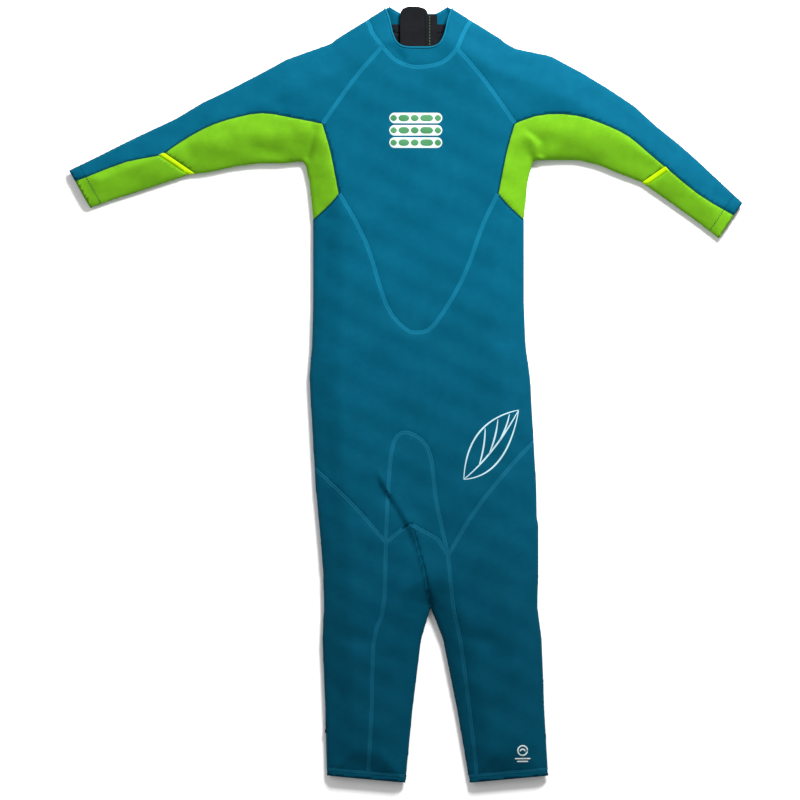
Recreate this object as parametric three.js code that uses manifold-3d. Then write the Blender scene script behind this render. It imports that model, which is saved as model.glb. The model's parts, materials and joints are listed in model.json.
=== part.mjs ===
// A child's full wetsuit, long sleeves and long legs, closed by a back zip and laid flat on its back.
// Millimetres, +X towards the wearer's left sleeve, +Y towards the neck, +Z up from the surface it lies on.
// Every panel is neoprene of one thickness. The suit is built as one hollow shell, front over back, and cut
// along its seams, so that neighbouring panels meet edge to edge with the seam's gap between them.
import * as THREE from 'three';
import { mergeVertices } from 'three/addons/utils/BufferGeometryUtils.js';
import Module from 'manifold-3d';

const wasm = await Module();
wasm.setup();

// ---- Driving dimensions -------------------------------------------------------------------------------

const neoprene = 2.5;          // panel thickness
const seamGap = 0.3;           // gap between panels at a seam
const bodyDepth = 28;          // how thick the suit lies at the chest and hips, front and back together
const wristDepth = 20;
const ankleDepth = 22;
const foldRadius = 14;         // how wide the soft fold is where the front turns into the back
const foldSteps = 4;           // facets in a quarter of that fold

const bodyX = 17;              // centre line of the chest, and of the zip
const legsX = 34;              // centre line between the legs, which lie a little to one side
const chestHalf = 148;         // half of the flat chest
const hipHalf = 155;
const armpitHalf = 160;

const crotchY = -296;          // where the legs part
const waistY = 72;
const armpitY = 330;
const neckTipY = 545;          // the two highest points of the collar
const neckHalf = 45;
const shoulderHalf = 136;      // from the centre line to the top of the armhole fold
const shoulderY = 488;

const sleeveLength = 346;      // armhole to wrist along the middle of the sleeve
const rightTuck = 16;          // taken up by the fold at the right armpit
const armholeWidth = 160;
const upperArmWidth = 106;
const elbowWidth = 78;
const wristWidth = 61;
const leftWristTilt = 9.5;     // degrees that a cuff is turned from square across the sleeve
const rightWristTilt = 4.5;
const leftDroop = 20;          // degrees below the shoulder line
const rightDroop = 29.5;
const leftBow = 7;             // how far the upper sleeve lies above a straight line
const rightBow = 27;
const bowShape = 0.75;         // under 1 puts the bow nearer to the armhole
const leftLean = 27;           // how far the armhole is turned from square across the sleeve
const rightLean = 40;

const legLength = 240;         // from where the legs part to the hem
const kneeWidth = 139;
const ankleWidth = 111;
const kneeDrop = 44;           // knee crease below where the legs part
const leftSpread = 15;         // how far each leg swings out by its hem
const rightSpread = 34;
const hemTilt = 10;            // the inner end of a hem lies lower than its outer end
const hemBand = 9;             // width of the stitched band at the ankle

const collarEdgeY = 489;       // front edge of the neck opening
const collarSeamY = 461;       // lowest point of the seam under the front of the collar
const backEdgeDip = 10;        // the back of the collar dips below its tips
const backSeamY = 505;

const zipBottomY = 130;
const zipTopY = 500;
const zipRecess = 5.8;          // the back rises this far off the surface along the zip
const recessRoofHalf = 32;
const recessFootHalf = 52;
const tapeWidth = 15;
const tapeThick = 0.8;
const teethWidth = 3.8;
const teethThick = 2.2;
const chainGap = 1;            // between the two rows of teeth, where the slider's web passes
const sliderLength = 20;
const sliderWidth = 13;
const slotClear = 1;           // each side of the slider, between the neoprene edges along the zip
const zipSlotHalf = sliderWidth / 2 + slotClear;
const sliderPlate = 1.4;
const sliderClear = 0.3;       // running clearance round the tape and the teeth
const sliderWeb = 0.4;
const pinRadius = 0.8;
const pinDrop = 2.2;           // pull pin below the slider's outer plate
const lugThick = 1.2;
const pullLength = 34;
const pullWidth = 9;
const pullThick = 1.6;
const pullEyeRadius = 2;
const pullClear = 0.35;        // running clearance round the pin and between the lugs
const pullNeckWidth = 4.4;
const stopLength = 2.5;

const flapHalf = 26;
const flapThick = 2;
const flapGap = 1.4;           // from the slider's inner plate up to the guard flap
const flapMargin = 17;         // sewn margin along one side of the flap
const bindingWidth = 6;
const tabReach = 37;           // free length of the neck tab
const tabBase = 14;            // its sewn end
const tabWidth = 21;
const tabThick = 2.4;
const patchLength = 22;
const patchThick = 0.8;
const printThick = 0.4;
const stripWidth = 7;          // bright strip at the elbow

// ---- Colours ------------------------------------------------------------------------------------------

const teal = 0x00688a;
const deepTeal = 0x005470;
const green = 0x6fb52a;
const neon = 0xb6f21c;
const black = 0x15171c;
const printWhite = 0xdfeeee;
const printCyan = 0x7fd8ea;
const zipPlastic = 0x20242a;

// ---- Solids from three.js geometry --------------------------------------------------------------------

function toSolid(geometry) {
  geometry.deleteAttribute('normal');
  geometry.deleteAttribute('uv');
  const merged = mergeVertices(geometry, 1e-4);
  const mesh = new wasm.Mesh({
    numProp: 3,
    vertProperties: new Float32Array(merged.attributes.position.array),
    triVerts: new Uint32Array(merged.index.array),
  });
  return new wasm.Manifold(mesh);
}

function toGeometry(solid) {
  const mesh = solid.getMesh();
  const geometry = new THREE.BufferGeometry();
  geometry.setAttribute('position', new THREE.BufferAttribute(mesh.vertProperties, 3));
  geometry.setIndex(new THREE.BufferAttribute(mesh.triVerts, 1));
  geometry.computeVertexNormals();
  return geometry;
}

function block(x0, x1, y0, y1, z0, z1) {
  const geometry = new THREE.BoxGeometry(x1 - x0, y1 - y0, z1 - z0);
  geometry.translate((x0 + x1) / 2, (y0 + y1) / 2, (z0 + z1) / 2);
  return toSolid(geometry);
}

// A flat outline in plan, from z0 up to z1.
function plate(points, z0, z1) {
  const shape = new THREE.Shape(points.map(([x, y]) => new THREE.Vector2(x, y)));
  return plateOf(shape, z0, z1);
}

function plateOf(shape, z0, z1) {
  const settings = { depth: z1 - z0, bevelEnabled: false, curveSegments: 4 };
  const geometry = new THREE.ExtrudeGeometry(shape, settings);
  geometry.translate(0, 0, z0);
  return toSolid(geometry);
}

// A thin upright cut along a line in plan: the gap that a seam leaves.
function kerf(points, z0, z1) {
  const half = seamGap / 2;
  const normals = points.map((point, i) => {
    const before = points[Math.max(i - 1, 0)];
    const after = points[Math.min(i + 1, points.length - 1)];
    const run = Math.hypot(after[0] - before[0], after[1] - before[1]);
    return [-(after[1] - before[1]) / run, (after[0] - before[0]) / run];
  });
  const near = points.map(([x, y], i) => [x + normals[i][0] * half, y + normals[i][1] * half]);
  const far = points.map(([x, y], i) => [x - normals[i][0] * half, y - normals[i][1] * half]);
  return plate([...far, ...near.reverse()], z0, z1);
}

// A line through a few points, rounded between them.
function smooth(points, steps) {
  const curve = new THREE.SplineCurve(points.map(([x, y]) => new THREE.Vector2(x, y)));
  return curve.getPoints(steps).map((p) => [p.x, p.y]);
}

// ---- Tubes that lie flat ------------------------------------------------------------------------------

const lerp = THREE.MathUtils.lerp;
const radians = THREE.MathUtils.degToRad;
const floorZ = -1;             // cuts that pass through start below the suit
const skyZ = bodyDepth + 6;    // and end above it
const sideZ = 12.5;            // height at which front and back panels meet along the sides

// A tube is a row of stations, each running from one folded edge (a) to the other (b) with its own depth.
function tubeSolid(stations, inset, openStart, openEnd) {
  const rows = [...stations];
  const extra = 8;
  if (openStart && inset > 0) rows.unshift(beyond(rows[0], rows[1], extra));
  if (openEnd && inset > 0) rows.push(beyond(rows[rows.length - 1], rows[rows.length - 2], extra));
  const rings = rows.map((row, i) => {
    const before = rows[Math.max(i - 1, 0)];
    const after = rows[Math.min(i + 1, rows.length - 1)];
    return ringOf(row, edgeStretch(row, before.a, after.a), edgeStretch(row, before.b, after.b), inset);
  });
  return loft(rings);
}

function beyond(end, previous, distance) {
  const push = (p, q) => {
    const run = Math.hypot(p[0] - q[0], p[1] - q[1]);
    return [p[0] + ((p[0] - q[0]) * distance) / run, p[1] + ((p[1] - q[1]) * distance) / run];
  };
  return { a: push(end.a, previous.a), b: push(end.b, previous.b), depth: end.depth };
}

// Where an edge runs at a slant to its stations, lengths across it grow by this much.
function edgeStretch(row, before, after) {
  const across = Math.atan2(row.b[1] - row.a[1], row.b[0] - row.a[0]);
  const along = Math.atan2(after[1] - before[1], after[0] - before[0]);
  return 1 / Math.max(Math.abs(Math.sin(across - along)), 0.4);
}

function ringOf(row, stretchA, stretchB, inset) {
  const width = Math.hypot(row.b[0] - row.a[0], row.b[1] - row.a[1]);
  const dir = [(row.b[0] - row.a[0]) / width, (row.b[1] - row.a[1]) / width];
  const half = row.depth / 2;
  const arc = (stretch) => {
    const points = [];
    for (let i = 0; i <= foldSteps; i++) {
      const turn = (Math.PI / 2) * (i / foldSteps);
      const reach = foldRadius * stretch - (foldRadius - inset) * stretch * Math.cos(turn);
      points.push([reach, (half - inset) * Math.sin(turn)]);
    }
    return points;
  };
  const arcA = arc(stretchA);
  const arcB = arc(stretchB).map(([reach, rise]) => [width - reach, rise]);
  const over = [...arcA, ...arcB.reverse()];
  const under = over.slice(1, -1).map(([reach, rise]) => [reach, -rise]).reverse();
  return [...over, ...under].map(([reach, rise]) => [
    row.a[0] + dir[0] * reach, row.a[1] + dir[1] * reach, half + rise,
  ]);
}

function loft(rings) {
  const count = rings[0].length;
  const positions = rings.flat(2);
  const index = [];
  for (let r = 0; r + 1 < rings.length; r++) {
    for (let i = 0; i < count; i++) {
      const p = r * count + i;
      const q = r * count + ((i + 1) % count);
      index.push(p, q, p + count, q, q + count, p + count);
    }
  }
  const last = (rings.length - 1) * count;
  for (let i = 1; i + 1 < count; i++) {
    index.push(0, i + 1, i);
    index.push(last, last + i, last + i + 1);
  }
  const geometry = new THREE.BufferGeometry();
  geometry.setAttribute('position', new THREE.Float32BufferAttribute(positions, 3));
  geometry.setIndex(index);
  const solid = toSolid(geometry);
  if (solid.volume() > 0) return solid;
  for (let i = 0; i < index.length; i += 3) [index[i + 1], index[i + 2]] = [index[i + 2], index[i + 1]];
  geometry.setIndex(index);
  return toSolid(geometry);
}

// The point at share s along a row of stations and share f across from edge a to edge b.
function pointOn(stations, s, f) {
  const place = s * (stations.length - 1);
  const i = Math.min(Math.max(Math.floor(place), 0), stations.length - 2);
  const k = place - i;
  const a = [0, 1].map((n) => lerp(stations[i].a[n], stations[i + 1].a[n], k));
  const b = [0, 1].map((n) => lerp(stations[i].b[n], stations[i + 1].b[n], k));
  return [lerp(a[0], b[0], f), lerp(a[1], b[1], f)];
}

const lineOn = (stations, shares) => shares.map(([s, f]) => pointOn(stations, s, f));

// ---- Stations of the five tubes -----------------------------------------------------------------------

function centreX(y) {
  const share = THREE.MathUtils.smoothstep(-y, -100, -crotchY);
  return lerp(bodyX, legsX, share);
}

function torsoStations() {
  const slope = (neckTipY - shoulderY) / (shoulderHalf - neckHalf);
  const rows = [
    [neckTipY, neckHalf],
    [neckTipY - 20, neckHalf + 20 / slope],
    [shoulderY + 12, shoulderHalf - 12 / slope],
    [shoulderY - 8, shoulderHalf],
    [armpitY + 60, armpitHalf - 14],
    [armpitY, armpitHalf],
    [armpitY - 30, chestHalf + 5],
    [armpitY - 80, chestHalf],
    [waistY + 60, chestHalf],
    [waistY, chestHalf + 2],
    [waistY - 45, hipHalf],
    [waistY - 200, hipHalf],
    [crotchY + 90, hipHalf - 3],
    [crotchY + 56, hipHalf - 4],
  ];
  return rows.map(([y, half]) => ({
    a: [centreX(y) - half, y], b: [centreX(y) + half, y], depth: bodyDepth,
  }));
}

// A sleeve's stations start inside the chest, pass the armhole and end at the wrist. side is -1 or 1 in X.
function sleeveStations(side) {
  const droop = radians(side < 0 ? leftDroop : rightDroop);
  const bow = side < 0 ? leftBow : rightBow;
  const lean = radians(side < 0 ? leftLean : rightLean);
  const tilt = radians(side < 0 ? leftWristTilt : rightWristTilt);
  const reach = sleeveLength - (side < 0 ? 0 : rightTuck);
  const armholeX = bodyX + side * (armpitHalf - 10);
  const armholeY = (shoulderY + armpitY) / 2;
  const steps = 9;
  const rows = [];
  for (let i = -1; i <= steps; i++) {
    const s = i / steps;
    const out = Math.max(s, 0);
    const widths = [[0, armholeWidth], [0.36, upperArmWidth], [0.6, elbowWidth], [1, wristWidth]];
    const half = between(widths, out) / 2;
    const turn = lean * (1 - out) ** 1.5 - tilt * out ** 8;
    const lift = bow * Math.sin(Math.PI * out ** bowShape);
    const x = armholeX + side * (reach * s * Math.cos(droop) + lift * Math.sin(droop));
    const y = armholeY - reach * s * Math.sin(droop) + lift * Math.cos(droop);
    const across = [side * Math.sin(droop - turn), Math.cos(droop - turn)];
    rows.push({
      a: [x + across[0] * half, y + across[1] * half],
      b: [x - across[0] * half, y - across[1] * half],
      depth: lerp(bodyDepth, wristDepth, out),
    });
  }
  return rows;
}

function between(table, s) {
  const i = Math.max(table.findIndex(([limit]) => s <= limit), 1);
  const [s0, v0] = table[i - 1];
  const [s1, v1] = table[i];
  return lerp(v0, v1, THREE.MathUtils.smootherstep(s, s0, s1) * 0.5 + ((s - s0) / (s1 - s0)) * 0.5);
}

// A leg's stations start inside the hips, pass the parting of the legs and end at the hem.
function legStations(side) {
  const spread = side < 0 ? leftSpread : rightSpread;
  const hipEdge = hipHalf - 4;
  const kneeCentre = legsX + side * ((hipEdge + 8) / 2 + spread * 0.2);
  const hemCentre = legsX + side * (hipEdge / 2 + spread);
  const outer = (x, width) => x + (side * width) / 2;
  const inner = (x, width) => x - (side * width) / 2;
  const kneeY = crotchY - kneeDrop;
  const hemY = crotchY - legLength;
  const rows = [
    [legsX + side * hipEdge, crotchY + 120, legsX - side * 46, crotchY + 120, 0],
    [legsX + side * hipEdge, crotchY + 56, legsX - side * 26, crotchY + 56, 0],
    [legsX + side * (hipEdge - 1), crotchY, legsX, crotchY, 0],
    [outer(kneeCentre, kneeWidth), kneeY, inner(kneeCentre, kneeWidth), kneeY, 0.2],
    [
      outer((kneeCentre + hemCentre) / 2, (kneeWidth + ankleWidth) / 2 - 2), (kneeY + hemY) / 2,
      inner((kneeCentre + hemCentre) / 2, (kneeWidth + ankleWidth) / 2 - 2), (kneeY + hemY) / 2, 0.6,
    ],
    [outer(hemCentre, ankleWidth), hemY + hemTilt / 2, inner(hemCentre, ankleWidth), hemY - hemTilt / 2, 1],
  ];
  return rows.map(([ax, ay, bx, by, share]) => ({
    a: [ax, ay], b: [bx, by], depth: lerp(bodyDepth, ankleDepth, share),
  }));
}

const torso = torsoStations();
const sleeves = { left: sleeveStations(-1), right: sleeveStations(1) };
const legs = { left: legStations(-1), right: legStations(1) };
const sides = ['left', 'right'];
const signOf = { left: -1, right: 1 };

// ---- The hollow shell ---------------------------------------------------------------------------------

function bodySolid(inset) {
  let solid = tubeSolid(torso, inset, true, false);
  for (const side of sides) {
    solid = solid.add(tubeSolid(sleeves[side], inset, false, true));
    solid = solid.add(tubeSolid(legs[side], inset, false, true));
  }
  return solid;
}

// The hollow along the back over the zip: a long block whose sides and lower end slope.
function recess(lift, wider) {
  const geometry = new THREE.BoxGeometry(1, 1, 1);
  const place = geometry.attributes.position;
  const top = neckTipY + 30;
  for (let i = 0; i < place.count; i++) {
    const high = place.getZ(i) > 0;
    const half = (high ? recessRoofHalf : recessFootHalf) + wider;
    const low = zipBottomY - (high ? 12 : 34) - wider;
    const y = place.getY(i) > 0 ? top : low;
    place.setXYZ(i, bodyX + Math.sign(place.getX(i)) * half, y, high ? zipRecess + lift : floorZ);
  }
  return toSolid(geometry);
}

// The neck opening: the front is scooped lower than the back.
function neckScoop() {
  const low = collarEdgeY;
  const left = bodyX - neckHalf;
  const right = bodyX + neckHalf;
  const edge = smooth([
    [left - 6, neckTipY + 6], [left + 3, neckTipY - 14], [left + 9, low + 16], [left + 20, low + 1],
    [bodyX, low - 1], [right - 20, low + 1], [right - 9, low + 16], [right - 3, neckTipY - 14],
    [right + 6, neckTipY + 6],
  ], 20);
  return plate([...edge, [right + 6, neckTipY + 40], [left - 6, neckTipY + 40]], sideZ, skyZ);
}

function neckDip() {
  const tip = neckHalf - 2;
  const flat = neckHalf * 0.55;
  const low = neckTipY - backEdgeDip;
  return plate([
    [bodyX - tip, neckTipY + 1], [bodyX - flat, low], [bodyX + flat, low],
    [bodyX + tip, neckTipY + 1], [bodyX + tip, neckTipY + 40], [bodyX - tip, neckTipY + 40],
  ], floorZ, skyZ);
}

function suitShell() {
  const outer = bodySolid(0).subtract(recess(0, 0));
  const inner = bodySolid(neoprene).subtract(recess(neoprene, neoprene));
  return outer.subtract(inner).subtract(neckScoop()).subtract(neckDip());
}

// ---- Fold lines: where the suit folds up, and where the rigid bodies of the model part ------------------

const foldReach = 14;          // fold cuts run this far past the edges
const armholeFold = (side) => {
  const sign = signOf[side];
  const top = [bodyX + sign * shoulderHalf, shoulderY];
  const foot = [bodyX + sign * (armpitHalf + (side === 'left' ? 0 : 7)), armpitY];
  const run = Math.hypot(foot[0] - top[0], foot[1] - top[1]);
  const step = [((foot[0] - top[0]) * foldReach) / run, ((foot[1] - top[1]) * foldReach) / run];
  return [[top[0] - step[0], top[1] - step[1]], [foot[0] + step[0], foot[1] + step[1]]];
};
const kneeY = crotchY - kneeDrop;
const kneeFold = (side) => {
  const gapX = legsX + 6;
  return [[gapX, kneeY], [gapX + signOf[side] * 2 * hipHalf, kneeY]].sort((p, q) => p[0] - q[0]);
};
const waistFold = [[bodyX - 2 * hipHalf, waistY], [bodyX + 2 * hipHalf, waistY]];

// ---- Seam lines ----------------------------------------------------------------------------------------

// Where chest, shoulder and side panel meet, and the lower corner of the side panel, each side of centre.
const cornerHalf = armpitHalf - 26;
const cornerY = armpitY + 52;
const bibHalf = chestHalf - 37;
const bibY = armpitY - 47;
const sideEndY = armpitY - 85;
const corner = (side) => [bodyX + signOf[side] * cornerHalf, cornerY];
const bib = (side) => [bodyX + signOf[side] * bibHalf, bibY];

const neckPoint = (side) => [bodyX + signOf[side] * (neckHalf + 24), neckTipY - 25];
const neckEnd = (side) => [bodyX + signOf[side] * (neckHalf + 38), neckTipY - 6];

function collarSeam(front) {
  const low = front ? collarSeamY : backSeamY;
  const n = neckHalf;
  const offsets = front
    ? [[-n - 19, 45], [7 - n, 13], [-18, 2], [0, -1], [n - 15, 4], [n + 6, 21], [n + 17, 45]]
    : [[-n - 5, 9], [-22, 2], [0, 0], [22, 2], [n + 5, 9]];
  const middle = offsets.map(([x, rise]) => [bodyX + x, low + rise]);
  const between = smooth([neckPoint('left'), ...middle, neckPoint('right')], 22);
  return [neckEnd('left'), ...between, neckEnd('right')];
}

function raglanSeam(side, front) {
  const sign = signOf[side];
  const start = front
    ? [bodyX + sign * (neckHalf - 1), collarSeamY + 39]
    : [bodyX + sign * (neckHalf - 9), backSeamY + 15];
  const middle = [[neckHalf + 7, shoulderY], [neckHalf + 46, shoulderY - 45]];
  return smooth([start, ...middle.map(([half, y]) => [bodyX + sign * half, y]), corner(side)], 8);
}

// The upper edge of the green panels, as shares along the sleeve and across it from the top.
const sleeveSeamShares = {
  left: [
    [0.15, 0.6], [0.28, 0.45], [0.39, 0.38], [0.5, 0.36], [0.61, 0.42], [0.68, 0.49], [0.81, 0.35], [1, 0.29],
  ],
  right: [
    [0.15, 0.58], [0.28, 0.51], [0.39, 0.47], [0.5, 0.44], [0.6, 0.48], [0.69, 0.51], [0.85, 0.51], [1, 0.35],
  ],
};
const stripPlace = {
  left: { top: [0.69, 0.4], foot: [0.56, 1.08] },
  right: { top: [0.7, 0.42], foot: [0.61, 1.08] },
};

function sleeveSeam(side) {
  const edge = lineOn(sleeves[side], sleeveSeamShares[side]);
  const end = edge[edge.length - 1];
  const before = edge[edge.length - 2];
  const past = [end[0] * 1.3 - before[0] * 0.3, end[1] * 1.3 - before[1] * 0.3];
  return smooth([corner(side), ...edge, past], 22);
}

// The inner edge of the side panel: down from the corner, round the bib and out to the side.
function sidePanelSeam(side) {
  const sign = signOf[side];
  const out = (half, y) => [bodyX + sign * half, y];
  const upper = smooth([corner(side), out(chestHalf - 25, cornerY - 38), bib(side)], 6);
  const lower = smooth([bib(side), out(chestHalf - 21, sideEndY + 20), out(chestHalf + 8, sideEndY - 5)], 5);
  return [...upper, ...lower.slice(1)];
}

function bibSeam() {
  const low = waistY + 17;
  return smooth([
    bib('left'), [bodyX - bibHalf * 0.667, bibY - 68], [bodyX - 46, low + 39], [bodyX - 20, low + 6],
    [bodyX - 1, low], [bodyX + 22, low + 11], [bodyX + 62, low + 76], [bodyX + bibHalf * 0.811, bibY - 43],
    bib('right'),
  ], 24);
}

// The seams that slant from the outside of each hip to the inner leg.
function thighSeam(side) {
  const hipEdge = bodyX + signOf[side] * hipHalf;
  const upper = side === 'left'
    ? [[hipEdge - 12, crotchY + 211], [hipEdge + 14, crotchY + 190], [legsX - 104, crotchY + 138]]
    : [[hipEdge + 28, crotchY + 244], [hipEdge - 5, crotchY + 221], [legsX + 67, crotchY + 143]];
  return smooth([...upper, gussetFoot(side)], 8);
}
const gussetFoot = (side) => (side === 'left' ? [legsX - 63, crotchY + 91] : [legsX + 24, crotchY + 73]);

function gussetArch(front) {
  const top = crotchY + (front ? 245 : 164);
  const crown = legsX - (front ? 33 : 20);
  const [left, right] = sides.map(gussetFoot);
  return smooth([
    left, [legsX - 60, (top + left[1]) / 2 - 12], [crown - 20, top - 17], [crown, top],
    [crown + 30, top - 25], [legsX + 7, (top + right[1]) / 2 - 8.5], right,
  ], 20);
}

function innerLegSeam(side) {
  const sign = signOf[side];
  const leg = legs[side];
  const shares = side === 'left'
    ? [[0.6, 0.52], [0.8, 0.53], [1, 0.52]]
    : [[0.6, 0.83], [0.8, 0.86], [1, 0.9]];
  const edge = lineOn(leg, shares);
  const end = edge[edge.length - 1];
  const crossing = side === 'left' ? legsX - 66 : legsX + 31;
  return smooth([gussetFoot(side), [crossing, crotchY], ...edge, [end[0] + sign * 2, end[1] - 20]], 12);
}

// ---- Cutting the shell into its panels ----------------------------------------------------------------

// Splits a solid along cuts and hands back the pieces by name: each name has a point inside its piece.
function split(solid, cuts, names) {
  const cut = cuts.reduce((left, cutter) => left.subtract(cutter), solid);
  const loose = cut.decompose().filter((piece) => piece.volume() > 20);
  const found = {};
  for (const [name, [x, y, z]] of Object.entries(names)) {
    const probe = block(x - 5, x + 5, y - 5, y + 5, z - 4, z + 4);
    const shares = loose.map((piece) => piece.intersect(probe).volume());
    found[name] = loose[shares.indexOf(Math.max(...shares))];
  }
  return found;
}

const through = (line) => kerf(line, floorZ, skyZ);
const frontOnly = (line) => kerf(line, sideZ, skyZ);
const backOnly = (line) => kerf(line, floorZ, sideZ);

// A level cut in from the outer edge, where front and back panels meet along a side.
function sideCut(edge, sign) {
  const reach = 7;
  const outside = edge.map(([x, y]) => [x + sign * reach, y]);
  const inside = edge.map(([x, y]) => [x - sign * reach, y]);
  return plate([...outside, ...inside.reverse()], sideZ - seamGap / 2, sideZ + seamGap / 2);
}

const edgeBelow = (stations, key, y) => stations.map((row) => row[key]).filter((p) => p[1] <= y);
const topZ = bodyDepth - neoprene / 2;
const backZ = neoprene / 2;
const roofZ = zipRecess + neoprene / 2;

function bodiesOf(shell) {
  const cuts = [through(waistFold)];
  for (const side of sides) cuts.push(through(armholeFold(side)), through(kneeFold(side)));
  const mid = (side, s, f) => pointOn(sleeves[side], s, f);
  const shinMid = (side) => pointOn(legs[side], 0.8, 0.5);
  return split(shell, cuts, {
    torso: [bodyX - 60, 300, topZ],
    hips: [bodyX, -20, topZ],
    sleeve_left: [...mid('left', 0.5, 0.5), 22],
    sleeve_right: [...mid('right', 0.5, 0.5), 22],
    shin_left: [...shinMid('left'), 22],
    shin_right: [...shinMid('right'), 22],
  });
}

function torsoPanels(torsoShell) {
  const neck = split(torsoShell, [frontOnly(collarSeam(true)), backOnly(collarSeam(false))], {
    collar: [bodyX, (collarSeamY + collarEdgeY) / 2, topZ],
    trunk: [bodyX, 300, topZ],
  });
  const backGap = block(bodyX - 1.5, bodyX + 1.5, backSeamY - 10, neckTipY, floorZ, sideZ);
  const upper = [];
  const lower = [frontOnly(bibSeam())];
  lower.push(block(bodyX - zipSlotHalf, bodyX + zipSlotHalf, zipBottomY, backSeamY + 10, floorZ, sideZ));
  lower.push(backOnly([[bodyX, waistY - 5], [bodyX, zipBottomY + 2]]));
  for (const side of sides) {
    const key = side === 'left' ? 'a' : 'b';
    const edge = [pointAtY(torso, key, sideEndY + 12), ...edgeBelow(torso, key, sideEndY)];
    upper.push(frontOnly(raglanSeam(side, true)), backOnly(raglanSeam(side, false)));
    upper.push(through(sleeveSeam(side)), through(sidePanelSeam(side)));
    lower.push(sideCut(edge.filter((p) => p[1] > waistY - 60), signOf[side]));
  }
  const yoke = split(neck.trunk, upper, {
    middle: [bodyX, 300, topZ],
    shoulder_left: [bodyX - 110, 460, topZ],
    shoulder_right: [bodyX + 110, 460, topZ],
    side_panel_left: [bodyX - 128, 300, topZ],
    side_panel_right: [bodyX + 128, 300, topZ],
  });
  const { middle, ...edges } = yoke;
  const panels = split(middle, lower, {
    chest_panel: [bodyX, 300, topZ],
    belly_panel: [bodyX + chestHalf - 40, waistY + 30, topZ],
    back_panel_left: [bodyX - 80, 200, backZ],
    back_panel_right: [bodyX + 80, 200, backZ],
  });
  return { ...panels, ...edges, collar: neck.collar.subtract(backGap) };
}

function pointAtY(stations, key, y) {
  for (let i = 0; i + 1 < stations.length; i++) {
    const p = stations[i][key];
    const q = stations[i + 1][key];
    if (p[1] >= y && q[1] <= y) return [lerp(p[0], q[0], (p[1] - y) / (p[1] - q[1])), y];
  }
  return stations[stations.length - 1][key];
}

function sleevePanels(side, sleeveShell) {
  const at = (s, f) => [...pointOn(sleeves[side], s, f), lerp(topZ, wristDepth - backZ, s)];
  const halves = split(sleeveShell, [through(sleeveSeam(side))], { top: at(0.4, 0.15), under: at(0.4, 0.8) });
  const [p, q] = lineOn(sleeves[side], [stripPlace[side].top, stripPlace[side].foot]);
  const run = Math.hypot(q[0] - p[0], q[1] - p[1]);
  const shift = [(-(q[1] - p[1]) * stripWidth) / 2 / run, ((q[0] - p[0]) * stripWidth) / 2 / run];
  const line = (k) => [p, q].map((end) => [end[0] + k * shift[0], end[1] + k * shift[1]]);
  const middle = [(p[0] + q[0]) / 2, (p[1] + q[1]) / 2];
  const parts = split(halves.under, [through(line(1)), through(line(-1))], {
    underarm: at(0.35, 0.8), forearm: at(0.85, 0.75), elbow_strip: [...middle, at(0.62, 0.5)[2]],
  });
  return {
    [`sleeve_top_${side}`]: halves.top,
    [`underarm_${side}`]: parts.underarm,
    [`forearm_${side}`]: parts.forearm,
    [`elbow_strip_${side}`]: parts.elbow_strip,
  };
}

function hipPanels(hipShell) {
  const cuts = [frontOnly(gussetArch(true)), backOnly(gussetArch(false))];
  const crease = smooth([
    [legsX - 27, crotchY + 120], [legsX - 9, crotchY + 56], [legsX, crotchY], [legsX, crotchY - 20],
  ], 6);
  const footSeam = [
    gussetFoot('left'), [legsX - 30, crotchY + 118], [legsX + 9, crotchY + 96], gussetFoot('right'),
  ];
  cuts.push(through(crease), through(footSeam));
  for (const side of sides) {
    const key = side === 'left' ? 'a' : 'b';
    cuts.push(through(thighSeam(side)), through(innerLegSeam(side)));
    cuts.push(sideCut(edgeBelow(torso, key, waistY + 70), signOf[side]));
    const outerLeg = edgeBelow(legs[side], 'a', crotchY + 121);
    cuts.push(sideCut(outerLeg.filter((p) => p[1] > kneeY - 70), signOf[side]));
  }
  return split(hipShell, cuts, {
    hip_front: [bodyX + 70, 0, topZ],
    seat_panel: [bodyX + 30, 0, backZ],
    gusset_front: [legsX - 25, -110, topZ],
    gusset_back: [legsX - 20, -160, backZ],
    thigh_front_left: [legsX - 110, crotchY, topZ],
    thigh_front_right: [legsX + 110, crotchY, topZ],
    thigh_back_left: [legsX - 110, crotchY, backZ],
    thigh_back_right: [legsX + 110, crotchY, backZ],
    inner_thigh_left: [legsX - 30, crotchY - 10, topZ],
    inner_thigh_right: [legsX + 20, crotchY + 10, topZ],
  });
}

function shinPanels(side, shinShell) {
  const leg = legs[side];
  const hem = leg[leg.length - 1];
  const tilt = (hem.b[1] - hem.a[1]) / (hem.b[0] - hem.a[0]);
  const hemLine = [-30, 30].map((past, i) => {
    const end = i === 0 ? hem.a : hem.b;
    const x = end[0] + past * -signOf[side];
    return [x, end[1] + tilt * (x - end[0]) + hemBand];
  });
  const at = (s, f, z) => [...pointOn(leg, s, f), z];
  const hems = split(shinShell, [through(hemLine)], {
    shin: at(0.8, 0.5, 22), hem: [...pointOn(leg, 1, 0.5).map((v, i) => v + (i ? hemBand / 2 : 0)), 20],
  });
  const cuts = [through(innerLegSeam(side)), sideCut(edgeBelow(leg, 'a', crotchY), signOf[side])];
  const innerShare = side === 'left' ? 0.78 : 0.94;
  const parts = split(hems.shin, cuts, {
    front: at(0.8, 0.3, 22), back: at(0.8, 0.3, backZ), inner: at(0.8, innerShare, 22),
  });
  return {
    [`shin_front_${side}`]: parts.front,
    [`shin_back_${side}`]: parts.back,
    [`inner_shin_${side}`]: parts.inner,
    [`ankle_hem_${side}`]: hems.hem,
  };
}

// ---- The back zip --------------------------------------------------------------------------------------

const tapeZ = zipRecess + neoprene + seamGap;
const teethTop = tapeZ - 0.1;
const chainHalf = chainGap / 2;

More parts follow.
